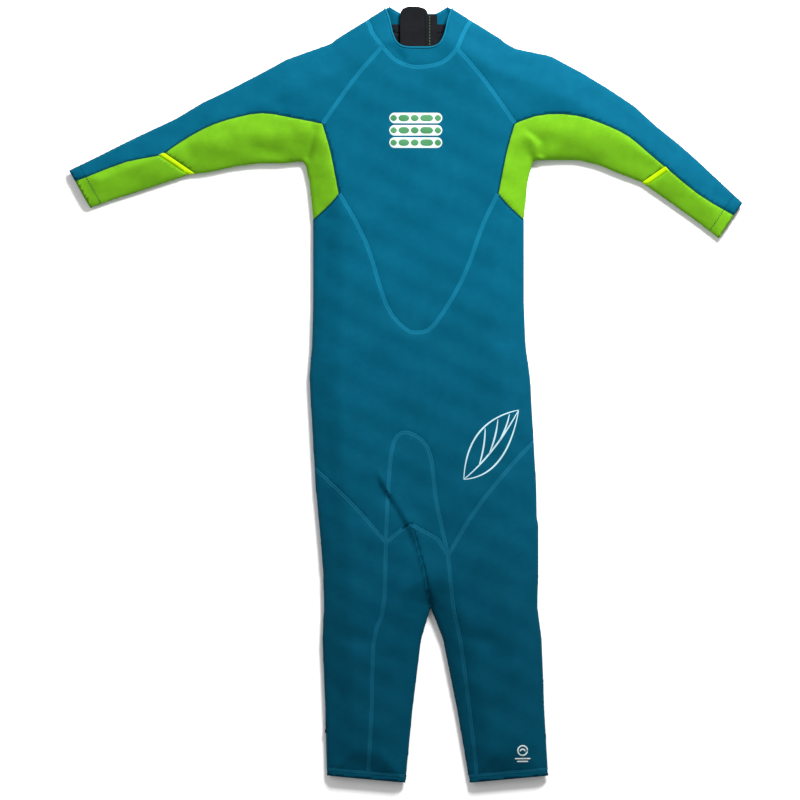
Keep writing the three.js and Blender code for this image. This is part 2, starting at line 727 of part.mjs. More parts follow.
function zipTape(side) {
  const sign = signOf[side];
  const [x0, x1] = [bodyX + sign * chainHalf, bodyX + sign * (chainHalf + tapeWidth)].sort((p, q) => p - q);
  return block(x0, x1, zipBottomY + 4, zipTopY + stopLength + 2, tapeZ, tapeZ + tapeThick);
}

function zipTeeth(side) {
  const sign = signOf[side];
  const [x0, x1] = [bodyX + sign * chainHalf, bodyX + sign * (chainHalf + teethWidth)].sort((p, q) => p - q);
  return block(x0, x1, zipBottomY + 8, zipTopY, teethTop - teethThick, teethTop - 0.2);
}

function topStop(side) {
  const sign = signOf[side];
  const [x0, x1] = [bodyX + sign * chainHalf, bodyX + sign * (chainHalf + teethWidth)].sort((p, q) => p - q);
  const start = zipTopY + seamGap;
  return block(x0, x1, start, start + stopLength, teethTop - teethThick, teethTop - 0.2);
}

function bottomStop() {
  const half = chainHalf + teethWidth;
  const end = zipBottomY + 8 - seamGap;
  return block(bodyX - half, bodyX + half, end - stopLength, end, teethTop - teethThick, teethTop - 0.2);
}

// The slider: an outer plate with a lip on each side, an inner plate, the web between them, and two lugs
// with a pin across them, under the outer plate, that hold the pull.
const sliderTopY = zipTopY - 1;
const sliderLowY = sliderTopY - sliderLength;
const outerPlateZ = teethTop - teethThick - sliderClear;
const innerPlateZ = tapeZ + tapeThick + sliderClear;
const pinY = sliderTopY - sliderLength / 2;
const pinZ = outerPlateZ - sliderPlate - pinDrop;
const lugInner = pullNeckWidth / 2 + pullClear;

function barAlongX(radius, x0, x1, y, z) {
  const geometry = new THREE.CylinderGeometry(radius, radius, x1 - x0, 12);
  geometry.rotateZ(Math.PI / 2);
  geometry.translate((x0 + x1) / 2, y, z);
  return toSolid(geometry);
}

function sliderPlan() {
  const half = sliderWidth / 2;
  const end = sliderLength / 2;
  const plan = new THREE.Shape();
  plan.moveTo(-half * 0.7, -end);
  plan.lineTo(half * 0.7, -end);
  plan.quadraticCurveTo(half, -end / 2, half, end / 3);
  plan.quadraticCurveTo(half, end, half * 0.4, end);
  plan.lineTo(-half * 0.4, end);
  plan.quadraticCurveTo(-half, end, -half, end / 3);
  plan.quadraticCurveTo(-half, -end / 2, -half * 0.7, -end);
  return plan;
}

function zipSlider() {
  const middle = (sliderTopY + sliderLowY) / 2;
  const bite = 0.3;
  const outer = plateOf(sliderPlan(), outerPlateZ - sliderPlate, outerPlateZ).translate(bodyX, middle, 0);
  const inner = plateOf(sliderPlan(), innerPlateZ, innerPlateZ + sliderPlate).translate(bodyX, middle, 0);
  const web = block(bodyX - sliderWeb / 2, bodyX + sliderWeb / 2, sliderLowY + 6, sliderTopY - 5,
    outerPlateZ - bite, innerPlateZ + bite);
  let slider = outer.add(inner).add(web);
  const lip = sliderWidth / 2 - (chainHalf + teethWidth + sliderClear);
  for (const sign of [-1, 1]) {
    const x = bodyX + sign * (sliderWidth / 2 - lip / 2);
    slider = slider.add(block(x - lip / 2, x + lip / 2, sliderLowY + 6, sliderTopY - 6,
      outerPlateZ - bite, tapeZ - sliderClear));
    const lugX = bodyX + sign * (lugInner + lugThick / 2);
    slider = slider.add(block(lugX - lugThick / 2, lugX + lugThick / 2, pinY - 2, pinY + 2,
      pinZ - 1.4, outerPlateZ - bite));
  }
  const pinHalf = lugInner + lugThick / 2;
  return slider.add(barAlongX(pinRadius, bodyX - pinHalf, bodyX + pinHalf, pinY, pinZ));
}

// The pull: an eye round the pin, a neck between the lugs and a tongue towards the lower back.
function zipPull() {
  const half = pullWidth / 2;
  const z0 = pinZ - pullEyeRadius;
  const plan = new THREE.Shape();
  plan.moveTo(-half + 1, -5);
  plan.lineTo(half - 1, -5);
  plan.quadraticCurveTo(half, -5, half, -8);
  plan.lineTo(half - 1.2, -15);
  plan.lineTo(half - 0.4, -pullLength + 4);
  plan.quadraticCurveTo(half - 0.4, -pullLength, 0, -pullLength);
  plan.quadraticCurveTo(-half + 0.4, -pullLength, -half + 0.4, -pullLength + 4);
  plan.lineTo(-half + 1.2, -15);
  plan.lineTo(-half, -8);
  plan.quadraticCurveTo(-half, -5, -half + 1, -5);
  const tongue = plateOf(plan, z0, z0 + pullThick).translate(bodyX, pinY, 0);
  const neckHalfWidth = pullNeckWidth / 2;
  const neck = block(bodyX - neckHalfWidth, bodyX + neckHalfWidth, pinY - 7, pinY - 0.4, z0, z0 + pullThick);
  const eye = barAlongX(pullEyeRadius, bodyX - neckHalfWidth, bodyX + neckHalfWidth, pinY, pinZ);
  const hole = barAlongX(pinRadius + pullClear, bodyX - pullWidth, bodyX + pullWidth, pinY, pinZ);
  return tongue.add(neck).add(eye).subtract(hole);
}

// The guard flap inside the zip: a rounded tongue and a lower, stitched margin beside it.
const flapZ = innerPlateZ + sliderPlate + flapGap;

function zipFlap() {
  const left = bodyX - flapHalf;
  const right = bodyX + flapHalf;
  const step = right - flapMargin;
  const high = neckTipY + 1;
  const plan = new THREE.Shape();
  plan.moveTo(left, zipBottomY - 4);
  plan.lineTo(right, zipBottomY - 4);
  plan.lineTo(right, neckTipY - backEdgeDip + 1);
  plan.lineTo(step + 3, neckTipY - backEdgeDip + 1);
  plan.quadraticCurveTo(step - 6, high, step - 17, high);
  plan.quadraticCurveTo(left + 1, high - 2, left, high - 12);
  return plateOf(plan, flapZ, flapZ + flapThick);
}

function flapBinding() {
  const outer = bodyX + chainHalf + tapeWidth;
  const z0 = tapeZ + tapeThick + seamGap;
  return block(outer - bindingWidth, outer, zipBottomY + 4, zipTopY, z0, flapZ - seamGap);
}

// ---- The neck closure: a hook tab sewn to one half of the collar and a loop patch on the other ----------

const tabY = (backSeamY + neckTipY - backEdgeDip) / 2 + 1;
const patchZ = zipRecess - seamGap - patchThick;
const tabTopZ = patchZ - seamGap;
const tabHingeX = bodyX - 8;

function neckTab() {
  const half = tabWidth / 2;
  const end = tabHingeX + tabReach;
  const plan = new THREE.Shape();
  plan.moveTo(tabHingeX + seamGap, tabY - half);
  plan.lineTo(end - half, tabY - half);
  plan.quadraticCurveTo(end, tabY - half, end, tabY);
  plan.quadraticCurveTo(end, tabY + half, end - half, tabY + half);
  plan.lineTo(tabHingeX + seamGap, tabY + half);
  return plateOf(plan, tabTopZ - tabThick, tabTopZ);
}

function neckTabBase() {
  const half = tabWidth / 2;
  const [z0, z1] = [tabTopZ - tabThick, zipRecess - seamGap];
  return block(tabHingeX - tabBase, tabHingeX, tabY - half, tabY + half, z0, z1);
}

function loopPatch() {
  const half = tabWidth / 2 - 1.5;
  const start = tabHingeX + tabReach - patchLength;
  return block(start, start + patchLength - 2, tabY - half, tabY + half, patchZ, patchZ + patchThick);
}

// ---- Printed marks --------------------------------------------------------------------------------------

function chestPrint() {
  const [x, y, halfX, halfY, round] = [bodyX - 4, armpitY + 42, 33, 24, 8];
  const plan = new THREE.Shape();
  plan.moveTo(x - halfX + round, y - halfY);
  plan.lineTo(x + halfX - round, y - halfY);
  plan.quadraticCurveTo(x + halfX, y - halfY, x + halfX, y - halfY + round);
  plan.lineTo(x + halfX, y + halfY - round);
  plan.quadraticCurveTo(x + halfX, y + halfY, x + halfX - round, y + halfY);
  plan.lineTo(x - halfX + round, y + halfY);
  plan.quadraticCurveTo(x - halfX, y + halfY, x - halfX, y + halfY - round);
  plan.lineTo(x - halfX, y - halfY + round);
  plan.quadraticCurveTo(x - halfX, y - halfY, x - halfX + round, y - halfY);
  return plateOf(plan, bodyDepth + seamGap, bodyDepth + seamGap + printThick);
}

// A leaf standing on its point, leaning to the right.
function hipPrint() {
  const [x, y] = [legsX + 84, crotchY + 228];
  const plan = new THREE.Shape();
  plan.moveTo(x - 40, y - 50);
  plan.quadraticCurveTo(x + 22, y - 44, x + 40, y + 50);
  plan.quadraticCurveTo(x - 34, y + 34, x - 40, y - 50);
  return plateOf(plan, bodyDepth + seamGap, bodyDepth + seamGap + printThick);
}

function anklePrint() {
  const [x, y] = pointOn(legs.right, 0.93, 0.3);
  const radius = 14;
  const plan = new THREE.Shape();
  plan.absarc(x, y, radius, 0, Math.PI * 2);
  const surface = pointDepth(legs.right, y + radius) + seamGap;
  return plateOf(plan, surface, surface + printThick);
}

function pointDepth(stations, y) {
  const i = Math.max(stations.findIndex((row) => row.b[1] <= y), 1);
  const [p, q] = [stations[i - 1], stations[i]];
  return lerp(p.depth, q.depth, (p.b[1] - y) / (p.b[1] - q.b[1]));
}

// ---- The finished suit ----------------------------------------------------------------------------------

const shell = suitShell();
const bodies = bodiesOf(shell);
const panels = {
  ...torsoPanels(bodies.torso),
  ...hipPanels(bodies.hips),
  ...sleevePanels('left', bodies.sleeve_left),
  ...sleevePanels('right', bodies.sleeve_right),
  ...shinPanels('left', bodies.shin_left),
  ...shinPanels('right', bodies.shin_right),
};

const fabric = (color) => ({ color, roughness: 0.82, metalness: 0 });
const isGreen = (name) => /^(side_panel|underarm|forearm)/.test(name);
const looks = Object.fromEntries(Object.keys(panels).map((name) => {
  if (isGreen(name)) return [name, fabric(green)];
  if (name.startsWith('elbow_strip')) return [name, fabric(neon)];
  return [name, fabric(/shin|ankle|thigh/.test(name) ? deepTeal : teal)];
}));

const fittings = {
  zip_tape_left: [zipTape('left'), fabric(black)],
  zip_tape_right: [zipTape('right'), fabric(black)],
  zip_teeth_left: [zipTeeth('left'), { color: zipPlastic, roughness: 0.4, metalness: 0 }],
  zip_teeth_right: [zipTeeth('right'), { color: zipPlastic, roughness: 0.4, metalness: 0 }],
  zip_top_stop_left: [topStop('left'), { color: zipPlastic, roughness: 0.4, metalness: 0 }],
  zip_top_stop_right: [topStop('right'), { color: zipPlastic, roughness: 0.4, metalness: 0 }],
  zip_bottom_stop: [bottomStop(), { color: zipPlastic, roughness: 0.4, metalness: 0 }],
  zip_slider: [zipSlider(), { color: black, roughness: 0.35, metalness: 0.6 }],
  zip_pull: [zipPull(), { color: black, roughness: 0.45, metalness: 0 }],
  zip_flap: [zipFlap(), fabric(black)],
  flap_binding: [flapBinding(), fabric(black)],
  neck_tab: [neckTab(), fabric(teal)],
  neck_tab_base: [neckTabBase(), fabric(teal)],
  neck_loop_patch: [loopPatch(), fabric(black)],
  chest_print: [chestPrint(), { color: printWhite, roughness: 0.6, metalness: 0 }],
  hip_print: [hipPrint(), { color: printCyan, roughness: 0.6, metalness: 0 }],
  ankle_print: [anklePrint(), { color: printWhite, roughness: 0.6, metalness: 0 }],
};

const suit = new THREE.Group();

function addPart(name, solid, look) {
  const mesh = new THREE.Mesh(toGeometry(solid), new THREE.MeshStandardMaterial(look));
  mesh.name = name;
  suit.add(mesh);
}

for (const [name, solid] of Object.entries(panels)) addPart(name, solid, looks[name]);
for (const [name, [solid, look]] of Object.entries(fittings)) addPart(name, solid, look);

// The origin lies on the surface, under the middle of the suit.
const box = new THREE.Box3().setFromObject(suit);
suit.position.set(-(box.min.x + box.max.x) / 2, -(box.min.y + box.max.y) / 2, -box.min.z);
suit.updateMatrixWorld(true);

export default suit;
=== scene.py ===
import json
import math

import bmesh
import bpy
import numpy as np
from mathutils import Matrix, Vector
from mathutils.bvhtree import BVHTree
from mathutils.kdtree import KDTree


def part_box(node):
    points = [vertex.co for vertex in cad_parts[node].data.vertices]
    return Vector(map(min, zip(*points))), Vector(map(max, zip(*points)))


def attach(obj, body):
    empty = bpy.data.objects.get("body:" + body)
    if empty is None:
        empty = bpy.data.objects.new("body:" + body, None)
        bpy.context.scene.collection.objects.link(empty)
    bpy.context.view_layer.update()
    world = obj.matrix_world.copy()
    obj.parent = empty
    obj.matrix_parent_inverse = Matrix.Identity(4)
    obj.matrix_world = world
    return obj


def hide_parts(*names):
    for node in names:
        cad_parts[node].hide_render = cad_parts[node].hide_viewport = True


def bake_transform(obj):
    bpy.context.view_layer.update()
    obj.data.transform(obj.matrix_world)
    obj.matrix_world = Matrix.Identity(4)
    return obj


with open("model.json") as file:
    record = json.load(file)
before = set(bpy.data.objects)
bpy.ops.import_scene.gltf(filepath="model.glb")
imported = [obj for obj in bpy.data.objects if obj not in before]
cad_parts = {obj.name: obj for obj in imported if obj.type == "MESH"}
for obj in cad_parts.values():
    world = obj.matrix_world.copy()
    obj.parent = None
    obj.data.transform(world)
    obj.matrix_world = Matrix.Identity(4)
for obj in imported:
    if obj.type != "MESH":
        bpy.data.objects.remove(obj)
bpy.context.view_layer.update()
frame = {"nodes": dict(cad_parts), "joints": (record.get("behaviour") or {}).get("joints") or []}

# A child's full wetsuit laid flat on its back. Metres: +Y runs to the neck and +Z is up, and
# the pieces called left lie at -X.

# ---- Sizes of the cloth and the sewing -----------------------------------------------

MESH_STEP = 0.0035         # spacing of the skin's mesh
NEOPRENE = 0.0024          # panel thickness
LEAST_WALL = 0.00015       # a panel's inside stays this far under its outside
HALF_ROOM = 0.36           # a panel takes up at most this share of the room between front and back
FOLD_WIDTH = 0.045         # the suit thins towards its outline over this width
FOLD_SHARE = 0.55          # how thick it lies at the outline, as a share of its middle
SEAM_HALF = 0.0031         # half the width of a flat-locked seam
SEAM_RISE = 0.0007         # how far its ridges stand out
SEAM_PINCH = 0.0007        # how far a seam draws the neoprene in
BACK_LIFT = 0.0009         # the back lies this far up, on the ridges of its seams
PINCH_REACH = 0.007        # and how far from the seam that still shows


def joint(name):
    found = next(j for j in frame["joints"] if j["name"] == name)
    return Vector(found["pos_m"]), Vector(found["axis"]).normalized()


WAIST, _ = joint("waist_fold")
KNEE_LEFT, _ = joint("knee_fold_left")
KNEE_RIGHT, _ = joint("knee_fold_right")

# ---- The panels as they are cut: the nodes of each, and the bodies it lies on --------

PANELS = {
    "collar_neoprene": (["collar"], "torso"),
    "chest_neoprene": (["chest_panel"], "torso"),
    "belly_neoprene": (["belly_panel", "hip_front"], "waist"),
    "back_neoprene_left": (["back_panel_left"], "waist"),
    "back_neoprene_right": (["back_panel_right"], "waist"),
    "seat_neoprene": (["seat_panel"], "waist"),
    "gusset_neoprene_front": (["gusset_front"], "hips"),
    "gusset_neoprene_back": (["gusset_back"], "hips"),
}
for side in ("left", "right"):
    PANELS[f"shoulder_neoprene_{side}"] = (
        [f"shoulder_{side}", f"sleeve_top_{side}"], f"shoulder_{side}")
    PANELS[f"underarm_neoprene_{side}"] = (
        [f"side_panel_{side}", f"underarm_{side}"], f"shoulder_{side}")
    PANELS[f"forearm_neoprene_{side}"] = ([f"forearm_{side}"], f"sleeve_{side}")
    PANELS[f"elbow_tape_{side}"] = ([f"elbow_strip_{side}"], f"sleeve_{side}")
    PANELS[f"thigh_neoprene_front_{side}"] = (
        [f"thigh_front_{side}", f"shin_front_{side}"], f"knee_{side}")
    PANELS[f"thigh_neoprene_back_{side}"] = (
        [f"thigh_back_{side}", f"shin_back_{side}"], f"knee_{side}")
    PANELS[f"inner_leg_neoprene_{side}"] = (
        [f"inner_thigh_{side}", f"inner_shin_{side}"], f"knee_{side}")
    PANELS[f"ankle_hem_band_{side}"] = ([f"ankle_hem_{side}"], f"shin_{side}")
PANEL_NAMES = list(PANELS)
OPENING = -1

# ---- Small helpers for rows of points and faces -----------------------------------------

def unit(rows):
    """Directions made one long."""
    return rows / np.maximum(np.linalg.norm(rows, axis=-1, keepdims=True), 1e-12)


def smoothstep(t):
    t = np.clip(t, 0, 1)
    return t * t * (3 - 2 * t)


def kd_tree(points):
    tree = KDTree(len(points))
    for i, p in enumerate(points):
        tree.insert(p, i)
    tree.balance()
    return tree


def tree_of(points, faces):
    return BVHTree.FromPolygons([tuple(p) for p in points], [tuple(f) for f in faces])


def side_ends(faces):
    """Both ends of every side of every face."""
    return np.stack([faces, np.roll(faces, -1, axis=1)], axis=2).reshape(-1, 2)


def sum_around(values, ends):
    """For each point, the sum of the values at the points it shares a side with."""
    total = np.zeros_like(values)
    np.add.at(total, ends[:, 0], values[ends[:, 1]])
    np.add.at(total, ends[:, 1], values[ends[:, 0]])
    return total


def make_active(obj):
    bpy.ops.object.select_all(action="DESELECT")
    bpy.context.view_layer.objects.active = obj
    obj.select_set(True)


def apply_modifier(obj, kind, **settings):
    modifier = obj.modifiers.new(kind.lower(), kind)
    for key, value in settings.items():
        setattr(modifier, key, value)
    make_active(obj)
    bpy.ops.object.modifier_apply(modifier=modifier.name)


def linked(name, data):
    """A new object in the scene, of a mesh, camera or light."""
    obj = bpy.data.objects.new(name, data)
    bpy.context.scene.collection.objects.link(obj)
    return obj


# ---- The skin: one even mesh over the outside of all the panels ----------------------

MID_HEIGHT = 0.01225       # where the front turns into the back
MID_BAND = 0.0033          # faces this near to it are told apart by what lies over and under them
WALL_LIMIT = 0.02          # a face as upright as this is the wall of a seam
THICK_LIMIT = 0.004        # a panel is thinner than this through its outer face
SEWN_NEAR = 0.0019         # cut edges this near to each other are sewn together
STRAIGHT_ON = 0.6          # a line goes on where its turn's cosine is above this
GAP_COST = 400             # how much a gap, in metres, counts against going straight on


def merged_mesh(node):
    bm = bmesh.new()
    bm.from_mesh(frame["nodes"][node].data)
    bmesh.ops.remove_doubles(bm, verts=bm.verts, dist=1e-6)
    bm.normal_update()
    return bm


def solid_tree():
    """All the panels' solids, to look through."""
    points, faces = [], []
    for nodes, _ in PANELS.values():
        for node in nodes:
            mesh = frame["nodes"][node].data
            faces += [[i + len(points) for i in f.vertices] for f in mesh.polygons]
            points += [tuple(v.co) for v in mesh.vertices]
    return tree_of(points, faces)


def is_outer(face, solids):
    middle, normal = face.calc_center_median(), face.normal
    if abs(middle.z - MID_HEIGHT) > MID_BAND:
        return abs(normal.z) >= WALL_LIMIT and normal.z * (middle.z - MID_HEIGHT) > 0
    through = solids.ray_cast(middle - normal * 1e-5, -normal)[3]
    if through is None or through > THICK_LIMIT:
        return False
    outside = middle + normal * 0.001
    return any(solids.ray_cast(outside, Vector((0, 0, way)))[0] is None for way in (1, -1))


def outer_faces():
    """Corner points of every outer face, its panel's number, and the edges where a panel ends."""
    solids = solid_tree()
    corners, owners, rims = [], [], []
    for number, name in enumerate(PANEL_NAMES):
        for node in PANELS[name][0]:
            bm = merged_mesh(node)
            outer = {f for f in bm.faces if is_outer(f, solids)}
            for face in outer:
                corners.append([tuple(v.co) for v in face.verts])
                owners.append(number)
            for edge in bm.edges:
                if sum(f in outer for f in edge.link_faces) == 1:
                    rims.append((number, node, *(tuple(v.co) for v in edge.verts)))
            bm.free()
    return np.array(corners), np.array(owners), rims


def cut_lines(rims, step=0.002):
    """The panels' cut edges in short lengths: both ends, the panel and the one it is sewn to."""
    starts, ends, panel, node = [], [], [], []
    for number, name, a, b in rims:
        a, b = np.array(a), np.array(b)
        parts = max(1, int(np.ceil(np.linalg.norm(b - a) / step)))
        shares = np.linspace(0, 1, parts + 1)[:, None]
        points = a + (b - a) * shares
        starts.append(points[:-1])
        ends.append(points[1:])
        panel += [number] * parts
        node += [name] * parts
    starts, ends = np.concatenate(starts), np.concatenate(ends)
    middles = (starts + ends) / 2
    tree = kd_tree(middles)
    partner = np.full(len(middles), OPENING)
    for i, p in enumerate(middles):
        near = [(d, j) for _, j, d in tree.find_range(p, SEWN_NEAR) if node[j] != node[i]]
        if near:
            partner[i] = panel[min(near)[1]]
    return starts, ends, np.array(panel), partner


def chains(starts, ends, reach=0.0009):
    """Joins short lengths that meet end to end into long lines."""
    points = np.concatenate([starts, ends])
    tree = kd_tree(points)
    count = len(starts)
    used = np.zeros(count, bool)

    def follow(tip, line):
        while True:
            here = points[tip]
            back = points[(tip + count) % (2 * count)]
            best = None
            for _, j, distance in tree.find_range(here, reach):
                if used[j % count]:
                    continue
                onward = points[(j + count) % (2 * count)] - points[j]
                turn = np.dot(onward, here - back)
                turn /= max(np.linalg.norm(onward) * np.linalg.norm(here - back), 1e-12)
                score = turn - distance * GAP_COST
                if turn > STRAIGHT_ON and (best is None or score > best[0]):
                    best = (score, j)
            if best is None:
                return line
            used[best[1] % count] = True
            tip = (best[1] + count) % (2 * count)
            line.append(points[tip])

    lines = []
    for i in range(count):
        if used[i]:
            continue
        used[i] = True
        forward = follow(i + count, [points[i + count]])
        backward = follow(i, [points[i]])
        lines.append(np.array(backward[::-1] + forward))
    return lines


ZIP_X = (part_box("zip_tape_left")[0].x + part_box("zip_tape_right")[1].x) / 2
ZIP_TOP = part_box("zip_tape_left")[1].y
OPENING_LEAST = 0.1        # an opening is at least this far round
OPENING_GAP = 0.009        # lengths of edge this near to each other are round the same opening
SLIT_NEAR = 0.002          # the edges of the collar's slit lie within this of the zip's line
SLIT_HALF = 0.0019         # the collar's two halves part this far each side of the zip's line


def openings_of(starts, ends):
    """The edges round each opening, with the narrow slit at the back of the collar left out."""
    middles = (starts + ends) / 2
    slit = (abs(middles[:, 0] - ZIP_X) < SLIT_NEAR) & (middles[:, 1] > ZIP_TOP)
    keep = np.flatnonzero(~slit)
    tree = KDTree(len(keep))
    for i in keep:
        tree.insert(middles[i], i)
    tree.balance()
    left, found = set(keep), []
    while left:
        stack, group = [left.pop()], []
        while stack:
            i = stack.pop()
            group.append(i)
            near = {j for _, j, _ in tree.find_range(middles[i], OPENING_GAP)} & left
            left -= near
            stack += near
        group = np.array(group)
        if np.linalg.norm(ends[group] - starts[group], axis=1).sum() > OPENING_LEAST:
            found.append(group)
    return found


def lids(starts, ends, groups):
    """A fan of triangles over each opening."""
    fans = []
    for group in groups:
        centre = ((starts[group] + ends[group]) / 2).mean(0)
        fans += [(starts[i], ends[i], centre) for i in group]
    return np.array(fans)


def closed_skin(triangles):
    """The outer faces and the lids, remeshed into one even skin."""
    bm = bmesh.new()
    for triangle in triangles:
        bm.faces.new([bm.verts.new(p) for p in triangle])
    mesh = bpy.data.meshes.new("skin")
    bm.to_mesh(mesh)
    bm.free()
    skin = linked("skin", mesh)
    apply_modifier(skin, "REMESH", mode="VOXEL", voxel_size=MESH_STEP)
    return skin


# ---- How the skin is shared out among the panels, and pulled exactly to their cut edges 

def rows_of(mesh):
    points = np.empty(len(mesh.vertices) * 3)
    mesh.vertices.foreach_get("co", points)
    faces = np.empty(len(mesh.loops), int)
    mesh.loops.foreach_get("vertex_index", faces)
    return points.reshape(-1, 3), faces.reshape(-1, 4)


def label_faces(points, faces, corners, owners):
    flat = corners.reshape(-1, 3)
    tree = tree_of(flat, np.arange(len(flat)).reshape(-1, 3))
    middle = points[faces].mean(1)
    labels = tidy_labels(faces, owners[[tree.find_nearest(p)[2] for p in middle]])
    slit = np.abs(middle[:, 0] - ZIP_X) < SLIT_HALF
    labels[slit & (middle[:, 1] > ZIP_TOP) & (middle[:, 2] < MID_HEIGHT)] = OPENING
    return labels


def side_neighbours(faces):
    """For every face, the faces across its four sides."""
    sides = np.sort(side_ends(faces), axis=1)
    order = np.lexsort((sides[:, 1], sides[:, 0]))
    ranked = sides[order]
    same = np.flatnonzero((ranked[1:] == ranked[:-1]).all(1))
    across = np.full(len(sides), -1)
    across[order[same]] = order[same + 1] // 4
    across[order[same + 1]] = order[same] // 4
    return across.reshape(-1, 4)


def tidy_labels(faces, labels, rounds=3):
    """A face that three sides say belongs to another panel goes over to it."""
    across = side_neighbours(faces)
    for _ in range(rounds):
        around = np.where(across >= 0, labels[across], labels[:, None])
        for column in range(4):
            votes = (around == around[:, [column]]).sum(1)
            labels = np.where(votes >= 3, around[:, column], labels)
    return labels


RING_POINTS = 30           # a line of more points than this is a ring
RING_GAP = 0.004           # where its ends are nearer than this


def even_line(line, step, rounds=0):
    """A line with its points a step apart, and its kinks smoothed out."""
    closed = len(line) > RING_POINTS and np.linalg.norm(line[0] - line[-1]) < RING_GAP
    lengths = np.linalg.norm(np.diff(line, axis=0), axis=1)
    along = np.concatenate([[0], np.cumsum(lengths)])
    count = max(3, int(along[-1] / step) + 1)
    even = np.stack([np.interp(np.linspace(0, along[-1], count), along, line[:, k])
                     for k in range(3)], axis=1)
    for _ in range(rounds):
        if closed:
            even[0] = even[-1] = (even[0] + even[-1]) / 2
            ring = even[:-1]
            ring = ring / 2 + (np.roll(ring, 1, axis=0) + np.roll(ring, -1, axis=0)) / 4
            even = np.concatenate([ring, ring[:1]])
        else:
            even[1:-1] = even[1:-1] / 2 + (even[:-2] + even[2:]) / 4
    return even, closed


def line_with_ways(line, step, rounds=0):
    """An even line without its doubled end, whether it closes, and its direction all along."""
    even, closed = even_line(line, step, rounds)
    if closed:
        even = even[:-1]
        return even, closed, unit(np.roll(even, -1, axis=0) - np.roll(even, 1, axis=0))
    return even, closed, unit(np.gradient(even, axis=0))


def fit_to_edges(points, faces, labels, seam_points, opening_points):
    """Moves the points between panels onto the seam's line, and others onto an opening's edge."""
    count = len(points)
    lowest, highest = np.full(count, 10 ** 6), np.full(count, -10)
    for column in range(4):
        np.minimum.at(lowest, faces[:, column], labels)
        np.maximum.at(highest, faces[:, column], labels)
    at_opening = (lowest == OPENING) & (highest > OPENING)
    at_seam = (lowest != highest) & ~at_opening
    moved = points.copy()
    for chosen, targets in ((at_seam, seam_points), (at_opening, opening_points)):
        tree = kd_tree(targets)
        for i in np.flatnonzero(chosen):
            place, _, distance = tree.find(points[i])
            if distance < 2 * MESH_STEP:
                moved[i] = place
    return moved, at_seam | at_opening


def smoothed(points, faces, fixed, rounds):
    """Evens out the skin between the points that stay, without letting it shrink."""
    ends = side_ends(faces)
    valence = np.bincount(ends.ravel(), minlength=len(points))[:, None]
    for _ in range(rounds):
        for pull in (0.55, -0.57):
            moved = points + (sum_around(points, ends) / valence - points) * pull
            points = np.where(fixed[:, None], points, moved)
    return points


# ---- How the suit lies: thinner to its outline, soft waves, and the creases of its folds 

def across_faces(points, faces):
    """The way out of each face, as long as twice its area."""
    a, b, c, d = (points[faces[:, k]] for k in range(4))
    return np.cross(c - a, d - b)


def point_normals(points, faces, rounds=0):
    """The way out of the skin at each point, evened out with its neighbours' a few times."""
    normal = across_faces(points, faces)
    total = np.zeros_like(points)
    for column in range(4):
        np.add.at(total, faces[:, column], normal)
    ends = side_ends(faces)
    for _ in range(rounds):
        total = unit(total)
        total = total + sum_around(total, ends)
    return unit(total)


def line_distance(points, line):
    """Distance in plan from a line, which side of it (+1 left), and the share along it."""
    flat = points[:, :2]
    best = np.full(len(flat), 1e9)
    side, share = np.zeros(len(flat)), np.zeros(len(flat))
    line = np.array(line)
    for k, (a, b) in enumerate(zip(line[:-1], line[1:])):
        run = b - a
        t = np.clip(((flat - a) @ run) / (run @ run), 0, 1)
        gap = flat - (a + t[:, None] * run)
        distance = np.linalg.norm(gap, axis=1)
        nearer = distance < best
        best = np.where(nearer, distance, best)
        turn = np.sign(run[0] * gap[:, 1] - run[1] * gap[:, 0])
        side = np.where(nearer, turn, side)
        share = np.where(nearer, (k + t) / (len(line) - 1), share)
    return best, side, share


def faded(share, ends):
    """Nothing at both ends of a line, and all of it past this share of its length."""
    return smoothstep(share / ends) * smoothstep((1 - share) / ends)


def groove(points, line, depth, width):
    """A soft hollow along the line."""
    distance, _, share = line_distance(points, line)
    fade = faded(share, 0.25)
    return -depth * fade * np.exp(-(distance / width) ** 2)


FOLD_EDGE = 0.0032         # half the width over which a fold's edge rolls down


def overlap(points, line, rise, width):
    """One side of the line folds over the other: high on its left, low on its right."""
    distance, side, share = line_distance(points, line)
    fade = faded(share, 0.2)
    over = smoothstep((side * distance + FOLD_EDGE) / (2 * FOLD_EDGE))
    high = rise * np.exp(-(distance / width) ** 2)
    low = -0.7 * rise * np.exp(-distance / (0.7 * width))
    return fade * (high * over + low * (1 - over))


def from_zip(line):
    """A line in plan whose X is told from the zip's own line."""
    return [(ZIP_X + x, y) for x, y in line]


LEFT_ARMPIT = from_zip([
    (-0.1420, 0.384), (-0.1480, 0.362), (-0.1540, 0.341), (-0.1590, 0.322)])
RIGHT_ARMPIT = from_zip([
    (0.1775, 0.329), (0.1680, 0.336), (0.1700, 0.350), (0.1585, 0.361), (0.1445, 0.372)])
CROTCH_FOLD = from_zip([
    (-0.0615, -0.100), (-0.0569, -0.1152), (-0.0475, -0.133), (-0.0303, -0.1586),
    (-0.0121, -0.1894), (-0.0025, -0.213), (0.0075, -0.2496), (0.0160, -0.290), (0.0205, -0.306)])
NECK_CREASE = from_zip([
    (-0.0455, 0.492), (-0.0387, 0.4854), (-0.0233, 0.4714), (-0.0155, 0.464)])
# The shape of each fold, its line, its height and its width.
FOLDS = [(groove, LEFT_ARMPIT, 0.0042, 0.0055), (overlap, RIGHT_ARMPIT, 0.0034, 0.012),
         (overlap, CROTCH_FOLD, 0.0034, 0.013), (groove, NECK_CREASE, 0.0022, 0.0055)]
